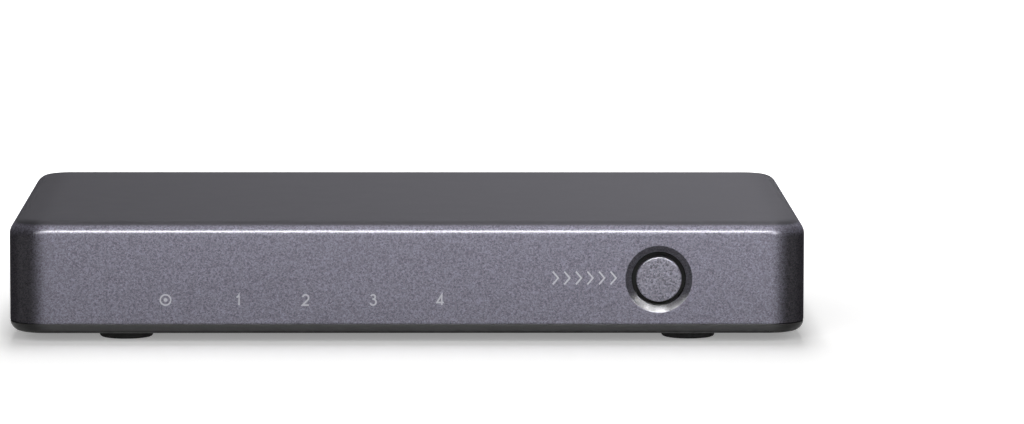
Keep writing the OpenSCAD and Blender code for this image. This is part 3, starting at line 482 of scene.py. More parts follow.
    def relief(self, height: Socket, depth: float, share: Socket | None = None) -> None:
        """Gives the surface a fine relief.

        Args:
            height: Height of the relief, between 0 and 1.
            depth: Depth of the relief in millimetres.
            share: Share of the relief that shows, where it isn't the same all over.
        """
        bump = self.add("ShaderNodeBump")
        bump.inputs["Distance"].default_value = depth * MM
        if share is not None:
            self.link(share, bump.inputs["Strength"])
        self.link(height, bump.inputs["Height"])
        self.link(bump.outputs["Normal"], self.shader.inputs["Normal"])

    def paint(self, colour: Socket) -> None:
        """Uses a colour for the surface."""
        self.link(colour, self.shader.inputs["Base Color"])

    def roughen(self, value: Socket, low: float, high: float) -> None:
        """Lets the roughness wander between two values."""
        self.link(self.span(value, NOISE_SPAN, (low, high)), self.shader.inputs["Roughness"])


def shaded(colour: Colour, factor: float) -> Colour:
    """A colour made lighter or darker by a factor."""
    return (colour[0] * factor, colour[1] * factor, colour[2] * factor)


@dataclass(frozen=True)
class FlakePaint:
    """Grey paint with metal flakes on the upright faces, a smoother top painted darker as painted shade,
    and painted shade in the button's well and hole.
    """

    name: str
    colour: Colour
    shaded_top_colour: Colour
    flake: float
    contrast: float
    rough: Span = (0.3, 0.36)
    metal: float = 0.03
    # Painted shade on the roll from the top down to the front.
    roll_shade_tone: float = 0.72
    coat: float = 0.0
    front_coat: float = 0.18
    coat_rough: float = 0.23
    well: Place = (0.0, 0.0, 0.0)
    well_r: float = 0.0
    # Painted shade in the button's well.
    well_shade_tone: float = 0.2
    well_coat: float = 0.27
    hole_r: float = 0.0
    # Painted shade in the hole round the button.
    hole_shade_tone: float = 0.02
    roll_shade_turn: Span = (-0.5, -0.1)
    top_turn: Span = (0.62, 0.82)
    relief_turn: Span = (0.15, 0.4)
    front_turn: Span = (-0.8, -0.55)
    relief_depth: float = 0.004
    cloud_size: float = 0.5
    cloud_stops: tuple[Point, Point] = ((0.3, 0.8), (0.7, 1.2))
    patch_size: float = 0.3
    drift_size: float = 6.0
    drift: float = 0.03
    wear_size: float = 0.8
    well_blur: float = 1.03
    coat_blur: float = 1.06
    sheen: Colour = (0.2, 0.2, 0.2)

    def fleck(self, graph: Graph, off: Socket) -> Socket:
        """Flaked colour of the upright faces, with painted shade in the button's well and hole.

        Args:
            graph: The material's nodes.
            off: Distance from the middle of the well.

        Returns:
            The socket with the colour.
        """
        low, high = 1 - self.contrast, 1 + self.contrast
        glint = graph.ramp(graph.cells(self.flake), self.colour, ((0, low), (0.5, 1.0), (1, high)))
        cloud = graph.ramp(graph.noise(self.cloud_size, detail=3), self.colour, self.cloud_stops)
        colour = graph.blend(graph.noise(self.patch_size, detail=1), cloud, glint)
        # Painted shade: the colour is darkened in the well and in the hole.
        for radius, tone in ((self.well_r, self.well_shade_tone), (self.hole_r, self.hole_shade_tone)):
            if radius > 0:
                inside = graph.span(off, (radius * self.well_blur * MM, radius * MM), (0, 1))
                colour = graph.blend(inside, colour, (tone,) * 3, "MULTIPLY")
        return colour

    def calm(self, graph: Graph) -> Socket:
        """Even colour of the top, painted darker than the front as painted shade, and darker still where
        it rolls down to the front, also painted shade.

        Args:
            graph: The material's nodes.

        Returns:
            The socket with the colour.
        """
        low, high = shaded(self.shaded_top_colour, 1 - self.drift), shaded(self.shaded_top_colour, 1 + self.drift)
        colour = graph.blend(graph.noise(self.drift_size), low, high)
        # Painted shade: the top's colour darkens where it rolls down to the front.
        edge = graph.span(graph.facing("Y"), self.roll_shade_turn, (1, 0))
        return graph.blend(edge, colour, (self.roll_shade_tone,) * 3, "MULTIPLY")

    def lacquer(self, graph: Graph, off: Socket) -> None:
        """Gives the front and the button's well their own weights of clear coat.

        Args:
            graph: The material's nodes.
            off: Distance from the middle of the well.
        """
        front = graph.span(graph.facing("Y"), self.front_turn, (self.front_coat, self.coat))
        inside = graph.span(off, (self.well_r * self.coat_blur * MM, self.well_r * MM), (0, 1))
        weight = graph.blend(inside, front, (self.well_coat,) * 3)
        graph.link(weight, graph.shader.inputs["Coat Weight"])

    def material(self) -> Material:
        """The paint as a material.

        Returns:
            The material.
        """
        graph = Graph(self.name)
        off = graph.distance(self.well)
        up = graph.facing("Z")
        # The top and its roll take the darker top colour, which is painted shade.
        top = graph.span(up, self.top_turn, (0, 1))
        graph.paint(graph.blend(top, self.fleck(graph, off), self.calm(graph)))
        graph.roughen(graph.noise(self.wear_size), *self.rough)
        upright = graph.span(up, self.relief_turn, (1, 0))
        graph.relief(graph.noise(self.flake, detail=1), self.relief_depth, upright)
        graph.set(Specular_IOR_Level=0.0, Specular_Tint=self.sheen, Metallic=self.metal)
        graph.set(Coat_Weight=self.coat, Coat_Roughness=self.coat_rough)
        if self.well_r > 0:
            self.lacquer(graph, off)
        return graph.material


@dataclass(frozen=True)
class Moulding:
    """Moulded plastic, rubber or epoxy with a fine grain, with painted shade on faces that turn downwards
    if asked for.
    """

    name: str
    colour: Colour
    rough: Span
    grain: float = 0.3
    depth: float = 0.01
    variety: float = 0.12
    gloss: float = 0.4
    under_shade: float = 1.0
    under_shade_turn: Span = (-0.8, -0.64)
    flat_turn: Span = (-0.995, -0.975)
    tint_size: float = 4.0
    wear_size: float = 1.5

    def material(self) -> Material:
        """The moulding as a material.

        Returns:
            The material.
        """
        graph = Graph(self.name)
        low, high = shaded(self.colour, 1 - self.variety), shaded(self.colour, 1 + self.variety)
        tint = graph.blend(graph.noise(self.tint_size, detail=4), low, high)
        # Painted shade: faces that turn downwards are darkened, but the flat underside keeps its plain
        # colour.
        if self.under_shade < 1:
            up = graph.facing("Z")
            below = graph.span(up, self.under_shade_turn, (1, 0))
            dark = graph.blend(below, tint, (self.under_shade,) * 3, "MULTIPLY")
            tint = graph.blend(graph.span(up, self.flat_turn, (1, 0)), dark, tint)
        graph.paint(tint)
        graph.roughen(graph.noise(self.wear_size), *self.rough)
        graph.relief(graph.noise(self.grain, detail=3), self.depth)
        graph.set(Specular_IOR_Level=self.gloss)
        return graph.material


@dataclass(frozen=True)
class Plating:
    """Metal sheet, plating or can with fine drawing marks."""

    name: str
    colour: Colour
    rough: Span
    marks: Stretch = (1, 12, 1)
    mark_size: float = 0.6
    mark_depth: float = 0.003
    tarnish_size: float = 3.0
    tarnish: Span = (0.9, 1.06)

    def material(self) -> Material:
        """The metal as a material.

        Returns:
            The material.
        """
        graph = Graph(self.name)
        drawn = graph.noise(self.mark_size, detail=4, stretch=self.marks)
        low, high = (shaded(self.colour, factor) for factor in self.tarnish)
        graph.paint(graph.blend(graph.noise(self.tarnish_size), low, high))
        graph.roughen(drawn, *self.rough)
        graph.relief(drawn, self.mark_depth)
        graph.set(Metallic=1.0)
        return graph.material


@dataclass(frozen=True)
class ClearResin:
    """Clear or milky resin that lets light through."""

    name: str
    colour: Colour
    clear: float
    rough: Span = (0.08, 0.2)
    tint_size: float = 2.0
    tint_low: float = 0.95
    wear_size: float = 1.0
    ripple_size: float = 0.8
    ripple_depth: float = 0.002
    bend: float = 1.49

    def material(self) -> Material:
        """The resin as a material.

        Returns:
            The material.
        """
        graph = Graph(self.name)
        low = shaded(self.colour, self.tint_low)
        graph.paint(graph.blend(graph.noise(self.tint_size), low, self.colour))
        graph.roughen(graph.noise(self.wear_size), *self.rough)
        graph.relief(graph.noise(self.ripple_size), self.ripple_depth)
        graph.set(Transmission_Weight=self.clear, IOR=self.bend)
        return graph.material


@dataclass(frozen=True)
class PrintedInk:
    """Pale grey ink, slightly uneven."""

    name: str
    colour: Colour
    rough: Span = (0.45, 0.6)
    speck_size: float = 0.25
    specks: Span = (0.85, 1.1)
    wear_size: float = 0.5
    grain: float = 0.2
    depth: float = 0.003

    def material(self) -> Material:
        """The ink as a material.

        Returns:
            The material.
        """
        graph = Graph(self.name)
        low, high = (shaded(self.colour, factor) for factor in self.specks)
        graph.paint(graph.blend(graph.noise(self.speck_size, detail=3), low, high))
        graph.roughen(graph.noise(self.wear_size), *self.rough)
        graph.relief(graph.noise(self.grain), self.depth)
        return graph.material


class Finishes:
    """Every finish of the box, by the record's slot, made once and shared."""

    def __init__(self) -> None:
        """Makes the materials."""
        # The top's grey is darker than the front's grey as painted shade.
        grey, shaded_top_grey = (0.176, 0.17, 0.212), (0.098, 0.096, 0.107)
        well = node_middle("select_button")
        well.y = node_box("top_shell")[0].y
        flake = FlakePaint(
            "flake_paint", grey, shaded_top_grey, flake=0.22, contrast=0.72,
            well=tuple(well), well_r=6.62, hole_r=5.4,
        )
        coarse = FlakePaint(
            "coarse_flake_paint", shaded(grey, 0.91), shaded_top_grey, flake=0.28, contrast=0.97,
            coat=1.0, coat_rough=0.19,
        )
        recipes = {
            Slot.HOUSING_PAINT: flake,
            Slot.BUTTON_PAINT: coarse,
            # The base's lower roll gets painted shade where it turns under.
            Slot.BASE_PLASTIC: Moulding(
                "base_plastic", (0.045, 0.045, 0.046), (0.45, 0.6), gloss=0.2, under_shade=0.12
            ),
            Slot.PANEL_PLASTIC: Moulding("panel_plastic", (0.02, 0.02, 0.021), (0.45, 0.6)),
            Slot.FOOT_RUBBER: Moulding(
                "foot_rubber", (0.012, 0.012, 0.012), (0.75, 0.9),
                grain=0.2, depth=0.02, variety=0.2, gloss=0.25,
            ),
            Slot.SCREW_STEEL: Plating("screw_steel", (0.12, 0.12, 0.125), (0.3, 0.45), marks=(4, 4, 4)),
            Slot.BOARD_LAMINATE: Moulding("board_laminate", (0.02, 0.12, 0.05), (0.3, 0.4), grain=0.5),
            Slot.SOCKET_STEEL: Plating("socket_steel", (0.62, 0.62, 0.63), (0.2, 0.32)),
            Slot.SOCKET_PLASTIC: Moulding("socket_plastic", (0.014, 0.014, 0.015), (0.4, 0.55)),
            Slot.GOLD_CONTACT: Plating("gold_contact", (0.85, 0.62, 0.25), (0.18, 0.28)),
            Slot.PLATED_CONTACT: Plating("plated_contact", (0.66, 0.66, 0.67), (0.22, 0.34)),
            Slot.SWITCH_PLASTIC: Moulding(
                "switch_plastic", (0.006, 0.006, 0.006), (0.5, 0.65), gloss=0.1
            ),
            Slot.FILTER_PLASTIC: Moulding(
                "filter_plastic", (0.02, 0.008, 0.01), (0.12, 0.2), grain=0.6, depth=0.002
            ),
            Slot.GUIDE_ACRYLIC: ClearResin("guide_acrylic", (0.85, 0.88, 0.9), clear=0.9),
            Slot.LAMP_RESIN: ClearResin("lamp_resin", (0.9, 0.9, 0.86), clear=0.4),
            Slot.CHIP_EPOXY: Moulding("chip_epoxy", (0.02, 0.02, 0.021), (0.55, 0.7)),
            Slot.INDUCTOR_FERRITE: Moulding(
                "inductor_ferrite", (0.05, 0.05, 0.052), (0.6, 0.75), grain=0.4, depth=0.02
            ),
            Slot.CAPACITOR_CAN: Plating(
                "capacitor_can", (0.62, 0.62, 0.63), (0.25, 0.35), marks=(8, 8, 1)
            ),
        }
        self._made = {slot: recipe.material() for slot, recipe in recipes.items()}
        self.ink = PrintedInk("printed_ink", (0.42, 0.42, 0.46)).material()

    def dress(self, piece: Piece, slot: Slot) -> None:
        """Gives a piece the finish of a slot and nothing else.

        Args:
            piece: The piece.
            slot: Slot of the finish.
        """
        self.coat(piece, self._made[slot])

    def part(self, piece: Piece, slot: Slot, inside: Callable[[Vector], bool]) -> None:
        """Gives some faces of a dressed piece another finish.

        Args:
            piece: The piece.
            slot: Slot of the other finish.
            inside: Tells from a face's middle, in metres, whether the face is one of them.
        """
        piece.data.materials.append(self._made[slot])
        for face in piece.data.polygons:
            if inside(face.center):
                face.material_index = 1

    def print(self, piece: Piece) -> None:
        """Gives a mark the printed ink."""
        self.coat(piece, self.ink)

    @staticmethod
    def coat(piece: Piece, material: Material) -> None:
        """Puts one material on a whole piece."""
        piece.data.materials.clear()
        piece.data.materials.append(material)


def mount(piece: Piece, body: Body, *nodes: str) -> None:
    """Lets a piece ride on a body in place of CAD nodes.

    Args:
        piece: The finished piece.
        body: The body it moves with.
        nodes: CAD nodes that it stands for.
    """
    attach(piece, body.value)
    if nodes:
        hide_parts(*nodes)
    LOG.info("%s rides %s, with %d faces", piece.name, body.value, len(piece.data.polygons))


def node_box(node: str) -> tuple[Vector, Vector]:
    """Lowest and highest corner of a CAD node in millimetres."""
    low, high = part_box(node)
    return low / MM, high / MM


def node_middle(node: str) -> Vector:
    """Middle of a CAD node's box in millimetres."""
    low, high = node_box(node)
    return (low + high) / 2


@dataclass
class SelectKey:
    """Round button, and the dished hole in the front that it stands in."""

    cap_d: float = 9.1
    cap_l: float = 2.55
    painted_l: float = 1.3
    rim_r: float = 0.34
    flange_d: float = 12.3
    flange_t: float = 1.2
    stem_d: float = 4.4
    gap: float = 0.75
    dish_d: float = 13.8
    dish_depth: float = 0.6
    rim_round: float = 0.8
    run_out: float = 3.0
    face_share: float = 0.6

    def __post_init__(self) -> None:
        """Takes the key's place from its CAD node."""
        low, high = node_box("select_button")
        self.axis = (low + high) / 2
        self.face_y = low.y
        self.back_y = high.y

    def turned(self, solid: Solid, y: float) -> Solid:
        """A solid of revolution turned to point out of the front, with its foot at a depth y."""
        place = Matrix.Translation((self.axis.x, y, self.axis.z))
        return moved(solid, place @ UPRIGHT)

    def hole(self, front_y: float, wall: float) -> Solid:
        """Solid that cuts the dish and the hole into the front wall.

        Args:
            front_y: Depth of the front face.
            wall: Thickness of the front wall.

        Returns:
            The cutter, which runs past both faces of the wall.
        """
        hole_r, dish_r = self.cap_d / 2 + self.gap, self.dish_d / 2
        offset = (dish_r**2 - hole_r**2 - self.dish_depth**2) / (2 * self.dish_depth)
        ball_r = math.hypot(dish_r, offset)
        slope = math.asin(dish_r / ball_r)
        rim_middle = (dish_r + self.rim_round * math.tan(slope / 2), -self.rim_round)
        rim = arc(rim_middle, self.rim_round, 90 + math.degrees(slope), 90 + self.run_out, 10)
        inner = math.degrees(math.acos(hole_r / ball_r))
        outer = math.degrees(math.acos(rim[0][0] / ball_r))
        dish = arc((0, offset), ball_r, -inner, -outer, 24)
        far = 2 * PAST
        brim = (rim[-1][0] + far, rim[-1][1] + far * math.tan(math.radians(self.run_out)))
        profile = [(hole_r, -wall - PAST), *dish, *rim[1:], brim, (brim[0], far)]
        return self.turned(lathe(profile, sides=160), front_y)

    def build(self, finishes: Finishes) -> None:
        """Makes the button.

        Args:
            finishes: Finishes to dress it with.
        """
        stem_l = self.back_y - self.face_y - self.cap_l - self.flange_t
        cap_z = stem_l + self.flange_t
        top_z = cap_z + self.cap_l
        cap_r, flange_r = self.cap_d / 2, self.flange_d / 2
        rim = arc((cap_r - self.rim_r, top_z - self.rim_r), self.rim_r, 0, 90, 10)
        stem_r = self.stem_d / 2
        back = [(stem_r, 0), (stem_r, stem_l), (flange_r, stem_l), (flange_r, cap_z), (cap_r, cap_z)]
        profile = [*back, (cap_r, top_z - self.painted_l), *rim, (cap_r * self.face_share, top_z)]
        button = piece_of(self.turned(lathe(profile, sides=128), self.back_y), "button_cap")
        smooth(button)
        finishes.dress(button, Slot.BUTTON_PAINT)
        finishes.part(button, Slot.SWITCH_PLASTIC, lambda p: p.y > (self.face_y + self.painted_l) * MM)
        mount(button, Body.SELECT_KEY, "select_button")


@dataclass
class HousingScrews:
    """Four cross-head screws in the underside."""

    head_d: float = 5.0
    head_h: float = 1.6
    shank_d: float = 2.5
    cross_w: float = 0.75
    cross_l: float = 3.0
    cross_depth: float = 0.9
    dome_h: float = 0.5
    dome_start: int = 72
    dome_step: int = 9
    edge: float = 0.06

    def places(self) -> list[Point]:
        """Places of the screws, across and in depth, from their CAD node.

        Returns:
            The four places.
        """
        low, high = node_box("base_screws")
        head_r = self.head_d / 2
        across = (low.x + head_r, high.x - head_r)
        return [(x, y) for x in across for y in (low.y + head_r, high.y - head_r)]

    def screw(self, x: float, y: float, low: float, high: float) -> Solid:
        """One screw, head down, with a domed head.

        Args:
            x: Place across.
            y: Place in depth.
            low: Height of the head's face.
            high: Height of the shank's end.

        Returns:
            The screw without its recess.
        """
        head_r, shank_r = self.head_d / 2, self.shank_d / 2
        turns = [math.radians(a) for a in range(self.dome_start, -1, -self.dome_step)]
        dome = [(head_r * math.cos(a), low + self.dome_h - self.dome_h * math.sin(a)) for a in turns]
        profile = [*dome, (head_r, low + self.head_h), (shank_r, low + self.head_h), (shank_r, high)]
        return moved(lathe(profile, sides=48), Matrix.Translation((x, y, 0)))

    def build(self, finishes: Finishes) -> None:
        """Makes the four screws as one piece.

        Args:
            finishes: Finishes to dress it with.
        """
        low, high = node_box("base_screws")
        half, thin = self.cross_l / 2, self.cross_w / 2
        foot, top = low.z - PAST, low.z + self.cross_depth
        solids, cutters = [], []
        for x, y in self.places():
            solids.append(self.screw(x, y, low.z, high.z))
            cutters.append(block((x - half, y - thin, foot), (x + half, y + thin, top)))
            cutters.append(block((x - thin, y - half, foot), (x + thin, y + half, top)))
        screws = piece_of(joined(solids), "screws")
        carve(screws, cutters)
        soften(screws, self.edge, angle=40)
        finishes.dress(screws, Slot.SCREW_STEEL)
        mount(screws, Body.HOUSING, "base_screws")


@dataclass
class Housing:
    """Painted shell and dark base cover, with rolled edges and a fine seam between them."""

    corner_r: float = 7.5
    top_r: float = 3.2
    low_r: float = 2.3
    wall: float = 2.0
    base_t: float = 2.0
    lip_t: float = 1.2
    lip_h: float = 1.5
    lip_gap: float = 0.15
    seam_r: float = 0.4
    seam_edge: float = 0.05
    seam_gap: float = 0.06
    panel_lap: float = 0.9
    steps: int = 14
    vent_l: float = 26.0
    vent_w: float = 2.0
    vent_pitch: float = 5.0
    vent_count: int = 6
    vent_x: float = 27.0
    foot_seat: float = 0.6
    foot_gap: float = 0.1
    screw_hole_d: float = 5.6
    gate_in: float = 10.0
    gate_out: float = 1.0
    shell_edge: float = 0.12
    base_edge: float = 0.1

    def __post_init__(self) -> None:
        """Takes the outer sizes from the CAD shell and base."""
        low, high = node_box("top_shell")
        self.w, self.d = high.x - low.x, high.y - low.y
        self.top_z = high.z
        self.base_z = node_box("base_cover")[0].z
        self.floor_z = self.base_z + self.base_t
        self.shell_z = self.floor_z + self.seam_gap

    def level(self, inset: float, z: float) -> Ring:
        """Ring of the housing's outline, set in by an amount, at a height."""
        return rounded_ring(self.w - 2 * inset, self.d - 2 * inset, self.corner_r - inset, z)

    def top_roll(self, inset: float, top_z: float, radius: float) -> list[Ring]:
        """Rings of a rolled upper edge, from the wall to the top."""
        turn = arc((inset + radius, top_z - radius), radius, 180, 90, self.steps)
        return [self.level(x, z) for x, z in turn]

    def low_roll(self) -> list[Ring]:
        """Rings of the rolled lower edge, from the underside up to the seam.

        Returns:
            The rings.
        """
        reach = math.degrees(math.asin((self.low_r - self.base_t + self.seam_edge) / self.low_r))
        turn = arc((self.low_r, self.base_z + self.low_r), self.low_r, 270, 180 + reach, self.steps)
        return [self.level(x, z) for x, z in turn]

    def build_shell(self, key: SelectKey, finishes: Finishes) -> None:
        """Makes the painted shell with its dish, button hole and rear opening.

        Args:
            key: The button whose hole is cut.
            finishes: Finishes to dress it with.
        """
        inside = self.top_roll(self.wall, self.top_z - self.wall, self.top_r - self.wall)
        inside = list(reversed(inside)) + [self.level(self.wall, self.shell_z)]
        seam_arc = arc((self.seam_r, self.shell_z + self.seam_r), self.seam_r, 270, 180, 8)
        seam = [self.level(x, z) for x, z in seam_arc]
        outside = self.top_roll(0, self.top_z, self.top_r)
        shell = piece_of(loft(inside + seam + outside), "shell")
        panel_high = node_box("rear_panel")[1]
        opening_x = panel_high.x - self.panel_lap
        opening_z = panel_high.z - self.panel_lap
        rear_y = self.d / 2
        opening_low = (-opening_x, rear_y - self.wall - PAST, self.shell_z - PAST)
        opening = block(opening_low, (opening_x, rear_y + PAST, opening_z))
        carve(shell, [key.hole(-rear_y, self.wall), opening])
        soften(shell, self.shell_edge)
        finishes.dress(shell, Slot.HOUSING_PAINT)
        mount(shell, Body.HOUSING, "top_shell")

    def vents(self) -> list[Solid]:
        """Cutters of the vent slots in the base.

        Returns:
            The cutters.
        """
        half = (self.vent_l - self.vent_w) / 2
        radius = self.vent_w / 2
        slot = arc((half, 0), radius, -90, 90, 10) + arc((-half, 0), radius, 90, 270, 10)
        cutters = []
        for side in (-1, 1):
            for i in range(self.vent_count):
                y = (i - (self.vent_count - 1) / 2) * self.vent_pitch
                outline = [(x + side * self.vent_x, v + y) for x, v in slot]
                cutters.append(prism(outline, self.base_z - PAST, self.floor_z + PAST))
        return cutters

    def foot_seats(self) -> list[Solid]:
        """Cutters of the recesses that the feet stand in.

        Returns:
            The cutters.
        """
        cutters = []
        for node in FEET:
            low, high = node_box(node)
            middle = (low + high) / 2
            seat = lathe([((high.x - low.x) / 2 + self.foot_gap, z) for z in (-PAST, self.foot_seat)])
            cutters.append(moved(seat, Matrix.Translation((middle.x, middle.y, self.base_z))))
        return cutters

    def panel_gate(self, lip_top: float) -> Solid:
        """Cutter of the gap in the base's lip that lets the rear panel in.

        Args:
            lip_top: Height of the lip's upper edge.

        Returns:
            The cutter.
        """
        low, high = node_box("rear_panel")
        gate_low = (low.x - self.lip_gap, self.d / 2 - self.gate_in, self.floor_z)
        gate_high = (high.x + self.lip_gap, self.d / 2 - self.gate_out, lip_top + PAST)
        return block(gate_low, gate_high)

    def screw_holes(self, screws: HousingScrews) -> list[Solid]:
        """Cutters of the holes that the screws' heads lie in.

        Args:
            screws: The screws.

        Returns:
            The cutters.
        """
        cutters = []
        for x, y in screws.places():
            hole = lathe([(self.screw_hole_d / 2, z) for z in (-PAST, self.base_t + PAST)])
            cutters.append(moved(hole, Matrix.Translation((x, y, self.base_z))))
        return cutters

    def build_base(self, screws: HousingScrews, finishes: Finishes) -> None:
        """Makes the base cover with its lip, foot recesses, screw holes and vents.

        Args:
            screws: The screws whose holes are cut.
            finishes: Finishes to dress it with.
        """
        lip_in = self.wall + self.lip_gap
        lip_top = self.floor_z + self.lip_h
        rings = self.low_roll() + [
            self.level(self.seam_edge, self.floor_z),
            self.level(lip_in, self.floor_z),
            self.level(lip_in, lip_top),
            self.level(lip_in + self.lip_t, lip_top),
            self.level(lip_in + self.lip_t, self.floor_z),
        ]
        base = piece_of(loft(rings), "base")
        gate = self.panel_gate(lip_top)
        carve(base, [*self.vents(), *self.foot_seats(), gate, *self.screw_holes(screws)])
        soften(base, self.base_edge)
        finishes.dress(base, Slot.BASE_PLASTIC)
        mount(base, Body.HOUSING, "base_cover")


@dataclass
class Feet:
    """Four rubber discs with a rounded lower rim."""

    rim_r: float = 0.5
    top_rim_r: float = 0.15
    core_share: float = 0.5

    def build(self, finishes: Finishes) -> None:
        """Makes the feet in the places of their CAD nodes.

        Args:
            finishes: Finishes to dress it with.
        """
        for node in FEET:
            low, high = node_box(node)
            middle = (low + high) / 2
            radius = (high.x - low.x) / 2
            rim = arc((radius - self.rim_r, low.z + self.rim_r), self.rim_r, -90, 0, 8)
            brim = arc((radius - self.top_rim_r, high.z - self.top_rim_r), self.top_rim_r, 0, 90, 4)
            disc = lathe([(radius * self.core_share, low.z), *rim, *brim])
            foot = piece_of(moved(disc, Matrix.Translation((middle.x, middle.y, 0))), f"rubber_{node}")
            smooth(foot, angle=50)
            finishes.dress(foot, Slot.FOOT_RUBBER)
            mount(foot, Body.HOUSING, node)


@dataclass
class FrontMarks:
    """Printed source numbers, a receiver mark and a row of chevrons that points to the button."""

    base_z: float = 2.2
    digit_x: float = -33.9
    digit_pitch: float = 13.5
    digit_h: float = 2.4
    digit_low: float = 5.8
    stroke: float = 0.32
    thick: float = 0.03
    eye_x: float = -48.44
    chevron_x: tuple[float, float] = (29.1, 41.8)
    chevron_count: int = 6
    chevron_h: float = 2.6
    chevron_z: float = 11.42
    chevron_slope: float = 0.85
    dot_share: float = 1.2
    mitre: float = 0.3

    def __post_init__(self) -> None:
        """Takes the front's depth from the CAD shell."""
        self.front_y = node_box("top_shell")[0].y

    def stand(self, solid: Solid) -> Solid:
        """A mark drawn flat, stood up on the front face."""
        return moved(solid, Matrix.Translation((0, self.front_y, 0)) @ UPRIGHT)

    def ribbon(self, path: Sequence[Point]) -> Solid:
        """Flat stroke of even width along a path.

        Args:
            path: Points of the stroke's middle line, across and up the front.

        Returns:
            The stroke as a thin solid, drawn flat.
        """
        left: list[Point] = []
        right: list[Point] = []
        for i, here in enumerate(path):
            before = Vector(path[max(i - 1, 0)])
            after = Vector(path[min(i + 1, len(path) - 1)])
            ways = [(Vector(here) - before), (after - Vector(here))]
            ways = [way.normalized() for way in ways if way.length > 0]
            mean = sum(ways, Vector((0, 0))).normalized()
            side = Vector((-mean.y, mean.x))
            reach = self.stroke / 2 / max(mean.dot(ways[0]), self.mitre)
            left.append(tuple(Vector(here) + side * reach))
            right.append(tuple(Vector(here) - side * reach))
        return prism(left + right[::-1], 0, self.thick)

    def print_mark(self, solid: Solid, name: str, finishes: Finishes) -> None:
        """Prints a mark that is drawn flat.

        Args:
            solid: The mark.
            name: Name of its piece.
            finishes: Finishes to dress it with.
        """
        mark = piece_of(self.stand(solid), name)
        finishes.print(mark)
        mount(mark, Body.HOUSING)

    def digit_strokes(self, number: int) -> list[list[Point]]:
        """Middle lines of a plain numeral, one unit high, from its foot's middle.

        Args:
            number: The numeral, from 1 to 4.

        Returns:
            The lines, each as its points.
        """
        bowl = arc((0, 0.29), 0.29, -160, 90, 20)
        strokes = {
            1: [[(-0.17, 0.74), (0.02, 0.86), (0.08, 1.0), (0.08, 0.0)]],
            2: [arc((0, 0.71), 0.29, 165, -38, 18) + [(-0.3, 0.0), (0.31, 0.0)]],
            3: [bowl + [(-0.06, 0.58)], arc((0, 0.79), 0.21, -90, 160, 18)],
            4: [[(0.32, 0.25), (-0.34, 0.25), (0.13, 1.0), (0.13, 0.0)]],
        }
        return strokes[number]

    def digit(self, number: int) -> Solid:
        """A plain numeral, drawn flat in its place.

        Args:
            number: The numeral, from 1 to 4.

        Returns:
            The numeral.
        """
        x = self.digit_x + (number - 1) * self.digit_pitch
        low = self.base_z + self.digit_low + self.stroke / 2
        height = self.digit_h - self.stroke
        strokes = []
        for line in self.digit_strokes(number):
            strokes.append(self.ribbon([(x + u * height, low + v * height) for u, v in line]))
        return joined(strokes)

    def eye(self) -> Solid:
        """Receiver mark: a ring round a dot, drawn flat.

        Returns:
            The mark.
        """
        middle = (self.eye_x, self.base_z + self.digit_low + self.digit_h / 2)
        ring = self.ribbon(arc(middle, (self.digit_h - self.stroke) / 2, 0, 359, 48))
        return joined([ring, prism(arc(middle, self.stroke * self.dot_share, 0, 345, 23), 0, self.thick)])

    def chevrons(self) -> Solid:
        """Row of chevrons that points to the button, drawn flat.

        Returns:
            The row.
        """
        first, last = self.chevron_x
        half = self.chevron_h / 2
        middle = self.base_z + self.chevron_z
        width = half * self.chevron_slope
        pitch = (last - first - width) / (self.chevron_count - 1)
        strokes = []
        for i in range(self.chevron_count):
            x = first + i * pitch
            strokes.append(self.ribbon([(x, middle + half), (x + width, middle), (x, middle - half)]))
        return joined(strokes)

    def build(self, finishes: Finishes) -> None:
        """Prints every mark.

        Args:
            finishes: Finishes to dress it with.
        """
        for number in range(1, 5):
            self.print_mark(self.digit(number), f"source_number_{number}", finishes)
        self.print_mark(self.eye(), "receiver_mark", finishes)
        self.print_mark(self.chevrons(), "select_mark", finishes)


@dataclass
class PowerSocket:
    """Barrel power socket: a block with a smooth bore, and the pin in it."""

    axis_h: float = 6.4
    bore_d: float = 6.4
    bore_l: float = 9.5
    pin_d: float = 2.0
    pin_l: float = 8.5
    pin_seat: float = 0.5
    nose_share: float = 0.35
    edge: float = 0.25

    def build(self, finishes: Finishes) -> None:
        """Makes the socket's body and pin.

        Args:
            finishes: Finishes to dress it with.
        """
        low, high = node_box("dc_jack_body")
        middle_x = (low.x + high.x) / 2
        axis = Matrix.Translation((middle_x, high.y, low.z + self.axis_h)) @ UPRIGHT
        body = piece_of(block(low, high), "power_socket")
        bore = lathe([(self.bore_d / 2, z) for z in (-PAST, self.bore_l)])
        carve(body, [moved(bore, axis)])
        soften(body, self.edge)
        finishes.dress(body, Slot.SOCKET_PLASTIC)
        mount(body, Body.HOUSING, "dc_jack_body")
        tip = self.bore_l - self.pin_l
        nose_r = self.pin_d * self.nose_share
        nose = arc((self.pin_d / 2 - nose_r, tip + nose_r), nose_r, -90, 0, 8)
        profile = [*nose, (self.pin_d / 2, self.bore_l + self.pin_seat)]
        pin = piece_of(moved(lathe(profile), axis), "power_pin")
        smooth(pin)
        finishes.dress(pin, Slot.PLATED_CONTACT)
        mount(pin, Body.HOUSING, "dc_jack_pin")


@dataclass
class CarriedNodes:
    """CAD pieces whose shape is right: they get their finish and a fine rounding of their edges."""

    edges: dict[Slot, float] = field(
        default_factory=lambda: {
            Slot.PANEL_PLASTIC: 0.15,
            Slot.SOCKET_STEEL: 0.07,
            Slot.SOCKET_PLASTIC: 0.04,
        }
    )

    def build(self, finishes: Finishes) -> None:
        """Dresses every node that no other piece stands for.

        Args:
            finishes: Finishes to dress it with.
        """
        for row in frame["record"]["subparts"]:
            node = frame["nodes"][row["node"]]
            if node.hide_render:
                continue
            slot = Slot(row["material_slot"])
            finishes.dress(node, slot)
            if slot in self.edges:
                soften(node, self.edges[slot], keep=True)
            LOG.info("%s keeps its shape in %s", node.name, slot.value)


class Reach(Enum):
    """What a lamp's light shows in."""

    ALL = "colour and gloss"
    COLOUR = "colour"
    GLOSS = "gloss"


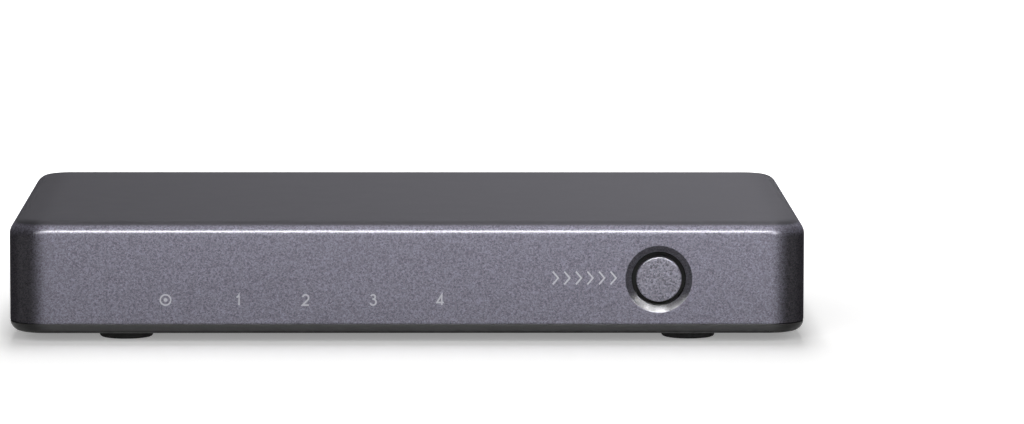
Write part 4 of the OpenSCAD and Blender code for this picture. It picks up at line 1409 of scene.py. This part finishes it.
@dataclass(frozen=True)
class Lamp:
    """Soft rectangular studio lamp that points at a place, brighter towards one end if it fades."""

    name: str
    place: Place
    aim: Place
    size: Point
    watts: float
    spread: float = 180.0
    reach: Reach = Reach.ALL
    fade: Span = EVEN
    climb: Span = EVEN
    roll: float = 0.0

    def grade(self, light: bpy.types.Light) -> None:
        """Lets the strength change from the left end to the right end and from foot to head.

        Args:
            light: The lamp's light.
        """
        light.use_nodes = True
        tree = light.node_tree
        where = tree.nodes.new("ShaderNodeNewGeometry")
        parts = tree.nodes.new("ShaderNodeSeparateXYZ")
        both = tree.nodes.new("ShaderNodeMath")
        both.operation = "MULTIPLY"
        tree.links.new(where.outputs["Parametric"], parts.inputs["Vector"])
        for i, ends in enumerate((self.fade, self.climb)):
            carry = tree.nodes.new("ShaderNodeMapRange")
            carry.inputs["To Min"].default_value, carry.inputs["To Max"].default_value = ends
            tree.links.new(parts.outputs[i], carry.inputs["Value"])
            tree.links.new(carry.outputs["Result"], both.inputs[i])
        tree.links.new(both.outputs[0], tree.nodes["Emission"].inputs["Strength"])

    def build(self) -> Piece:
        """Makes the lamp, unseen by the camera.

        Returns:
            The lamp.
        """
        light = bpy.data.lights.new(self.name, "AREA")
        light.shape = "RECTANGLE"
        light.size, light.size_y = self.size[0] * MM, self.size[1] * MM
        light.energy = self.watts
        light.spread = math.radians(self.spread)
        if self.fade != EVEN or self.climb != EVEN:
            self.grade(light)
        made = bpy.data.objects.new(self.name, light)
        bpy.context.scene.collection.objects.link(made)
        made.location = Vector(self.place) * MM
        way = (Vector(self.aim) - Vector(self.place)).normalized()
        turn = way.to_track_quat("-Z", "Y") @ Quaternion((0, 0, 1), math.radians(self.roll))
        made.rotation_euler = turn.to_euler()
        made.visible_camera = False
        made.visible_glossy = self.reach is not Reach.COLOUR
        made.visible_diffuse = self.reach is not Reach.GLOSS
        return made


@dataclass
class Studio:
    """White floor, soft lamps, dim surroundings and the camera."""

    lens: float = 197.76
    sensor: float = 36.0
    clip: Span = (50.0, 50000.0)
    camera_place: Place = (-1.228, -1166.1, 154.98)
    pitch: float = 6.532
    yaw: float = 1.134
    roll: float = 0.132
    floor_r: float = 5000.0
    floor_z: float = -0.02
    floor_white: Colour = (0.9, 0.9, 0.9)
    floor_plain: Colour = (0.15, 0.144, 0.132)
    # The floor's glow is painted light: weak near the box, so that the box's real shadow shows, and white
    # far off.
    floor_glow: Span = (0.26, 1.0)
    glow_reach: Span = (90.0, 280.0)
    glow_middle: Place = (0, -60, 0)
    surround: float = 0.045
    surround_tint: Colour = (1.0, 0.96, 0.88)
    key: Lamp = Lamp(
        "key_lamp", (0.45, -556, 98.2), aim=(0.45, 0, 30), size=(147.9, 81), watts=0.0355, spread=0.6,
        reach=Reach.COLOUR, fade=(0.91, 1.09), climb=(0.78, 1.79),
    )
    top: Lamp = Lamp(
        "top_lamp", (0, 0, 700), aim=(0, 1, 0), size=(200, 110), watts=0.0545, spread=2.0,
        reach=Reach.COLOUR, fade=(0.567, 1.433),
    )
    strip_path: tuple[Point, ...] = ((-37, 15), (-27, 27.5), (-15, 36), (15, 36), (27, 27.5), (37, 15))
    strip_watts: tuple[float, ...] = (0.05, 0.11, 0.44, 0.15, 0.09)
    strip_far: float = 800.0
    strip_w: float = 24.0
    strip_spread: float = 24.0
    left: Lamp = Lamp(
        "left_lamp", (-420, 900, 400), aim=(0, 0, 12), size=(300, 300), watts=0.36, spread=50,
        reach=Reach.COLOUR,
    )
    right: Lamp = replace(left, name="right_lamp", place=(420, 900, 400))
    overhead: Lamp = Lamp("floor_lamp", (0, 380, 800), aim=(0, 80, 0), size=(260, 1200), watts=6.0)
    sweep: Lamp = Lamp("sweep_lamp", (0, -900, 260), aim=(0, -60, 0), size=(900, 420), watts=9.6)

    def floor_material(self) -> Material:
        """White to the eye and in reflections, and a plain grey to the light that it throws back.

        Returns:
            The material.
        """
        graph = Graph("studio_floor")
        graph.tree.nodes.remove(graph.shader)
        path = graph.add("ShaderNodeLightPath")
        seen = graph.add("ShaderNodeMath", operation="MAXIMUM")
        seen_through = graph.add("ShaderNodeMath", operation="MAXIMUM")
        graph.link(path.outputs["Is Camera Ray"], seen.inputs[0])
        graph.link(path.outputs["Is Glossy Ray"], seen.inputs[1])
        graph.link(seen.outputs[0], seen_through.inputs[0])
        graph.link(path.outputs["Is Transmission Ray"], seen_through.inputs[1])
        white = graph.add("ShaderNodeBsdfDiffuse")
        white.inputs["Color"].default_value = (*self.floor_white, 1)
        glow = graph.add("ShaderNodeEmission")
        # Painted light: the glow grows from near the box to far off.
        far = graph.distance(self.glow_middle)
        near_to_far = (self.glow_reach[0] * MM, self.glow_reach[1] * MM)
        graph.link(graph.span(far, near_to_far, self.floor_glow), glow.inputs["Strength"])
        bright = graph.add("ShaderNodeAddShader")
        graph.link(white.outputs[0], bright.inputs[0])
        graph.link(glow.outputs[0], bright.inputs[1])
        plain = graph.add("ShaderNodeBsdfDiffuse")
        plain.inputs["Color"].default_value = (*self.floor_plain, 1)
        mix = graph.add("ShaderNodeMixShader")
        graph.link(seen_through.outputs[0], mix.inputs["Fac"])
        graph.link(plain.outputs[0], mix.inputs[1])
        graph.link(bright.outputs[0], mix.inputs[2])
        graph.link(mix.outputs[0], graph.output.inputs["Surface"])
        return graph.material

    def build_floor(self) -> Piece:
        """Makes the round floor.

        Returns:
            The floor.
        """
        disc = bmesh.new()
        disc.faces.new([disc.verts.new(p) for p in round_ring(self.floor_r, self.floor_z, sides=128)])
        floor = piece_of(disc, "floor")
        floor.data.materials.append(self.floor_material())
        return floor

    def strips(self) -> list[Lamp]:
        """Narrow lamps in an arch, whose line shows in the rolled edge and in the button's dish.

        Returns:
            The lamps.
        """
        front = node_box("top_shell")[0].y
        aim = Vector((0, front, node_middle("select_button").z))
        ways = []
        for turn, rise in ((math.radians(a), math.radians(b)) for a, b in self.strip_path):
            out = math.cos(rise)
            ways.append(Vector((out * math.sin(turn), -out * math.cos(turn), math.sin(rise))))
        lamps = []
        for i, (start, end) in enumerate(zip(ways, ways[1:])):
            place = aim + (start + end).normalized() * self.strip_far
            run = (end - start) * self.strip_far
            level = (aim - place).to_track_quat("-Z", "Y")
            along, across = level @ Vector((1, 0, 0)), level @ Vector((0, 1, 0))
            lamp = Lamp(
                f"strip_lamp_{i + 1}", tuple(place), aim=tuple(aim), size=(run.length, self.strip_w),
                watts=self.strip_watts[i], spread=self.strip_spread, reach=Reach.GLOSS,
                roll=math.degrees(math.atan2(run.dot(across), run.dot(along))),
            )
            lamps.append(lamp)
        return lamps

    def build_light(self, floor: Piece) -> None:
        """Makes the lamps: two light the floor alone, and the others everything but the floor.

        Args:
            floor: The floor.
        """
        for lamp in (self.key, self.top, *self.strips(), self.left, self.right, self.overhead, self.sweep):
            made = lamp.build()
            state = "INCLUDE" if lamp in (self.overhead, self.sweep) else "EXCLUDE"
            group = bpy.data.collections.new(f"{lamp.name}_floor")
            group.objects.link(floor)
            group.collection_objects[0].light_linking.link_state = state
            made.light_linking.receiver_collection = group
        world = bpy.data.worlds.new("surroundings")
        bpy.context.scene.world = world
        world.use_nodes = True
        world.node_tree.nodes["Background"].inputs["Color"].default_value = (*self.surround_tint, 1)
        world.node_tree.nodes["Background"].inputs["Strength"].default_value = self.surround

    def build_camera(self) -> None:
        """Makes the camera where the photograph was taken."""
        camera = bpy.data.cameras.new("camera")
        camera.lens = self.lens
        camera.sensor_width = self.sensor
        camera.sensor_fit = "HORIZONTAL"
        camera.clip_start, camera.clip_end = self.clip[0] * MM, self.clip[1] * MM
        made = bpy.data.objects.new("camera", camera)
        bpy.context.scene.collection.objects.link(made)
        turn = Matrix.Rotation(math.radians(-self.yaw), 4, "Z")
        tilt = Matrix.Rotation(math.radians(90 - self.pitch), 4, "X")
        lean = Matrix.Rotation(math.radians(self.roll), 4, "Z")
        made.matrix_world = Matrix.Translation(Vector(self.camera_place) * MM) @ turn @ tilt @ lean
        bpy.context.scene.camera = made

    def build(self) -> None:
        """Makes the whole studio."""
        self.build_light(self.build_floor())
        self.build_camera()
        bpy.context.scene.view_settings.view_transform = "Standard"


def main() -> None:
    """Builds and dresses every piece in order, then the studio."""
    logging.basicConfig(level=logging.INFO, format="%(name)s: %(message)s")
    finishes = Finishes()
    key = SelectKey()
    screws = HousingScrews()
    housing = Housing()
    housing.build_shell(key, finishes)
    housing.build_base(screws, finishes)
    key.build(finishes)
    Feet().build(finishes)
    FrontMarks().build(finishes)
    PowerSocket().build(finishes)
    screws.build(finishes)
    CarriedNodes().build(finishes)
    Studio().build()


if __name__ == "__main__":
    main()
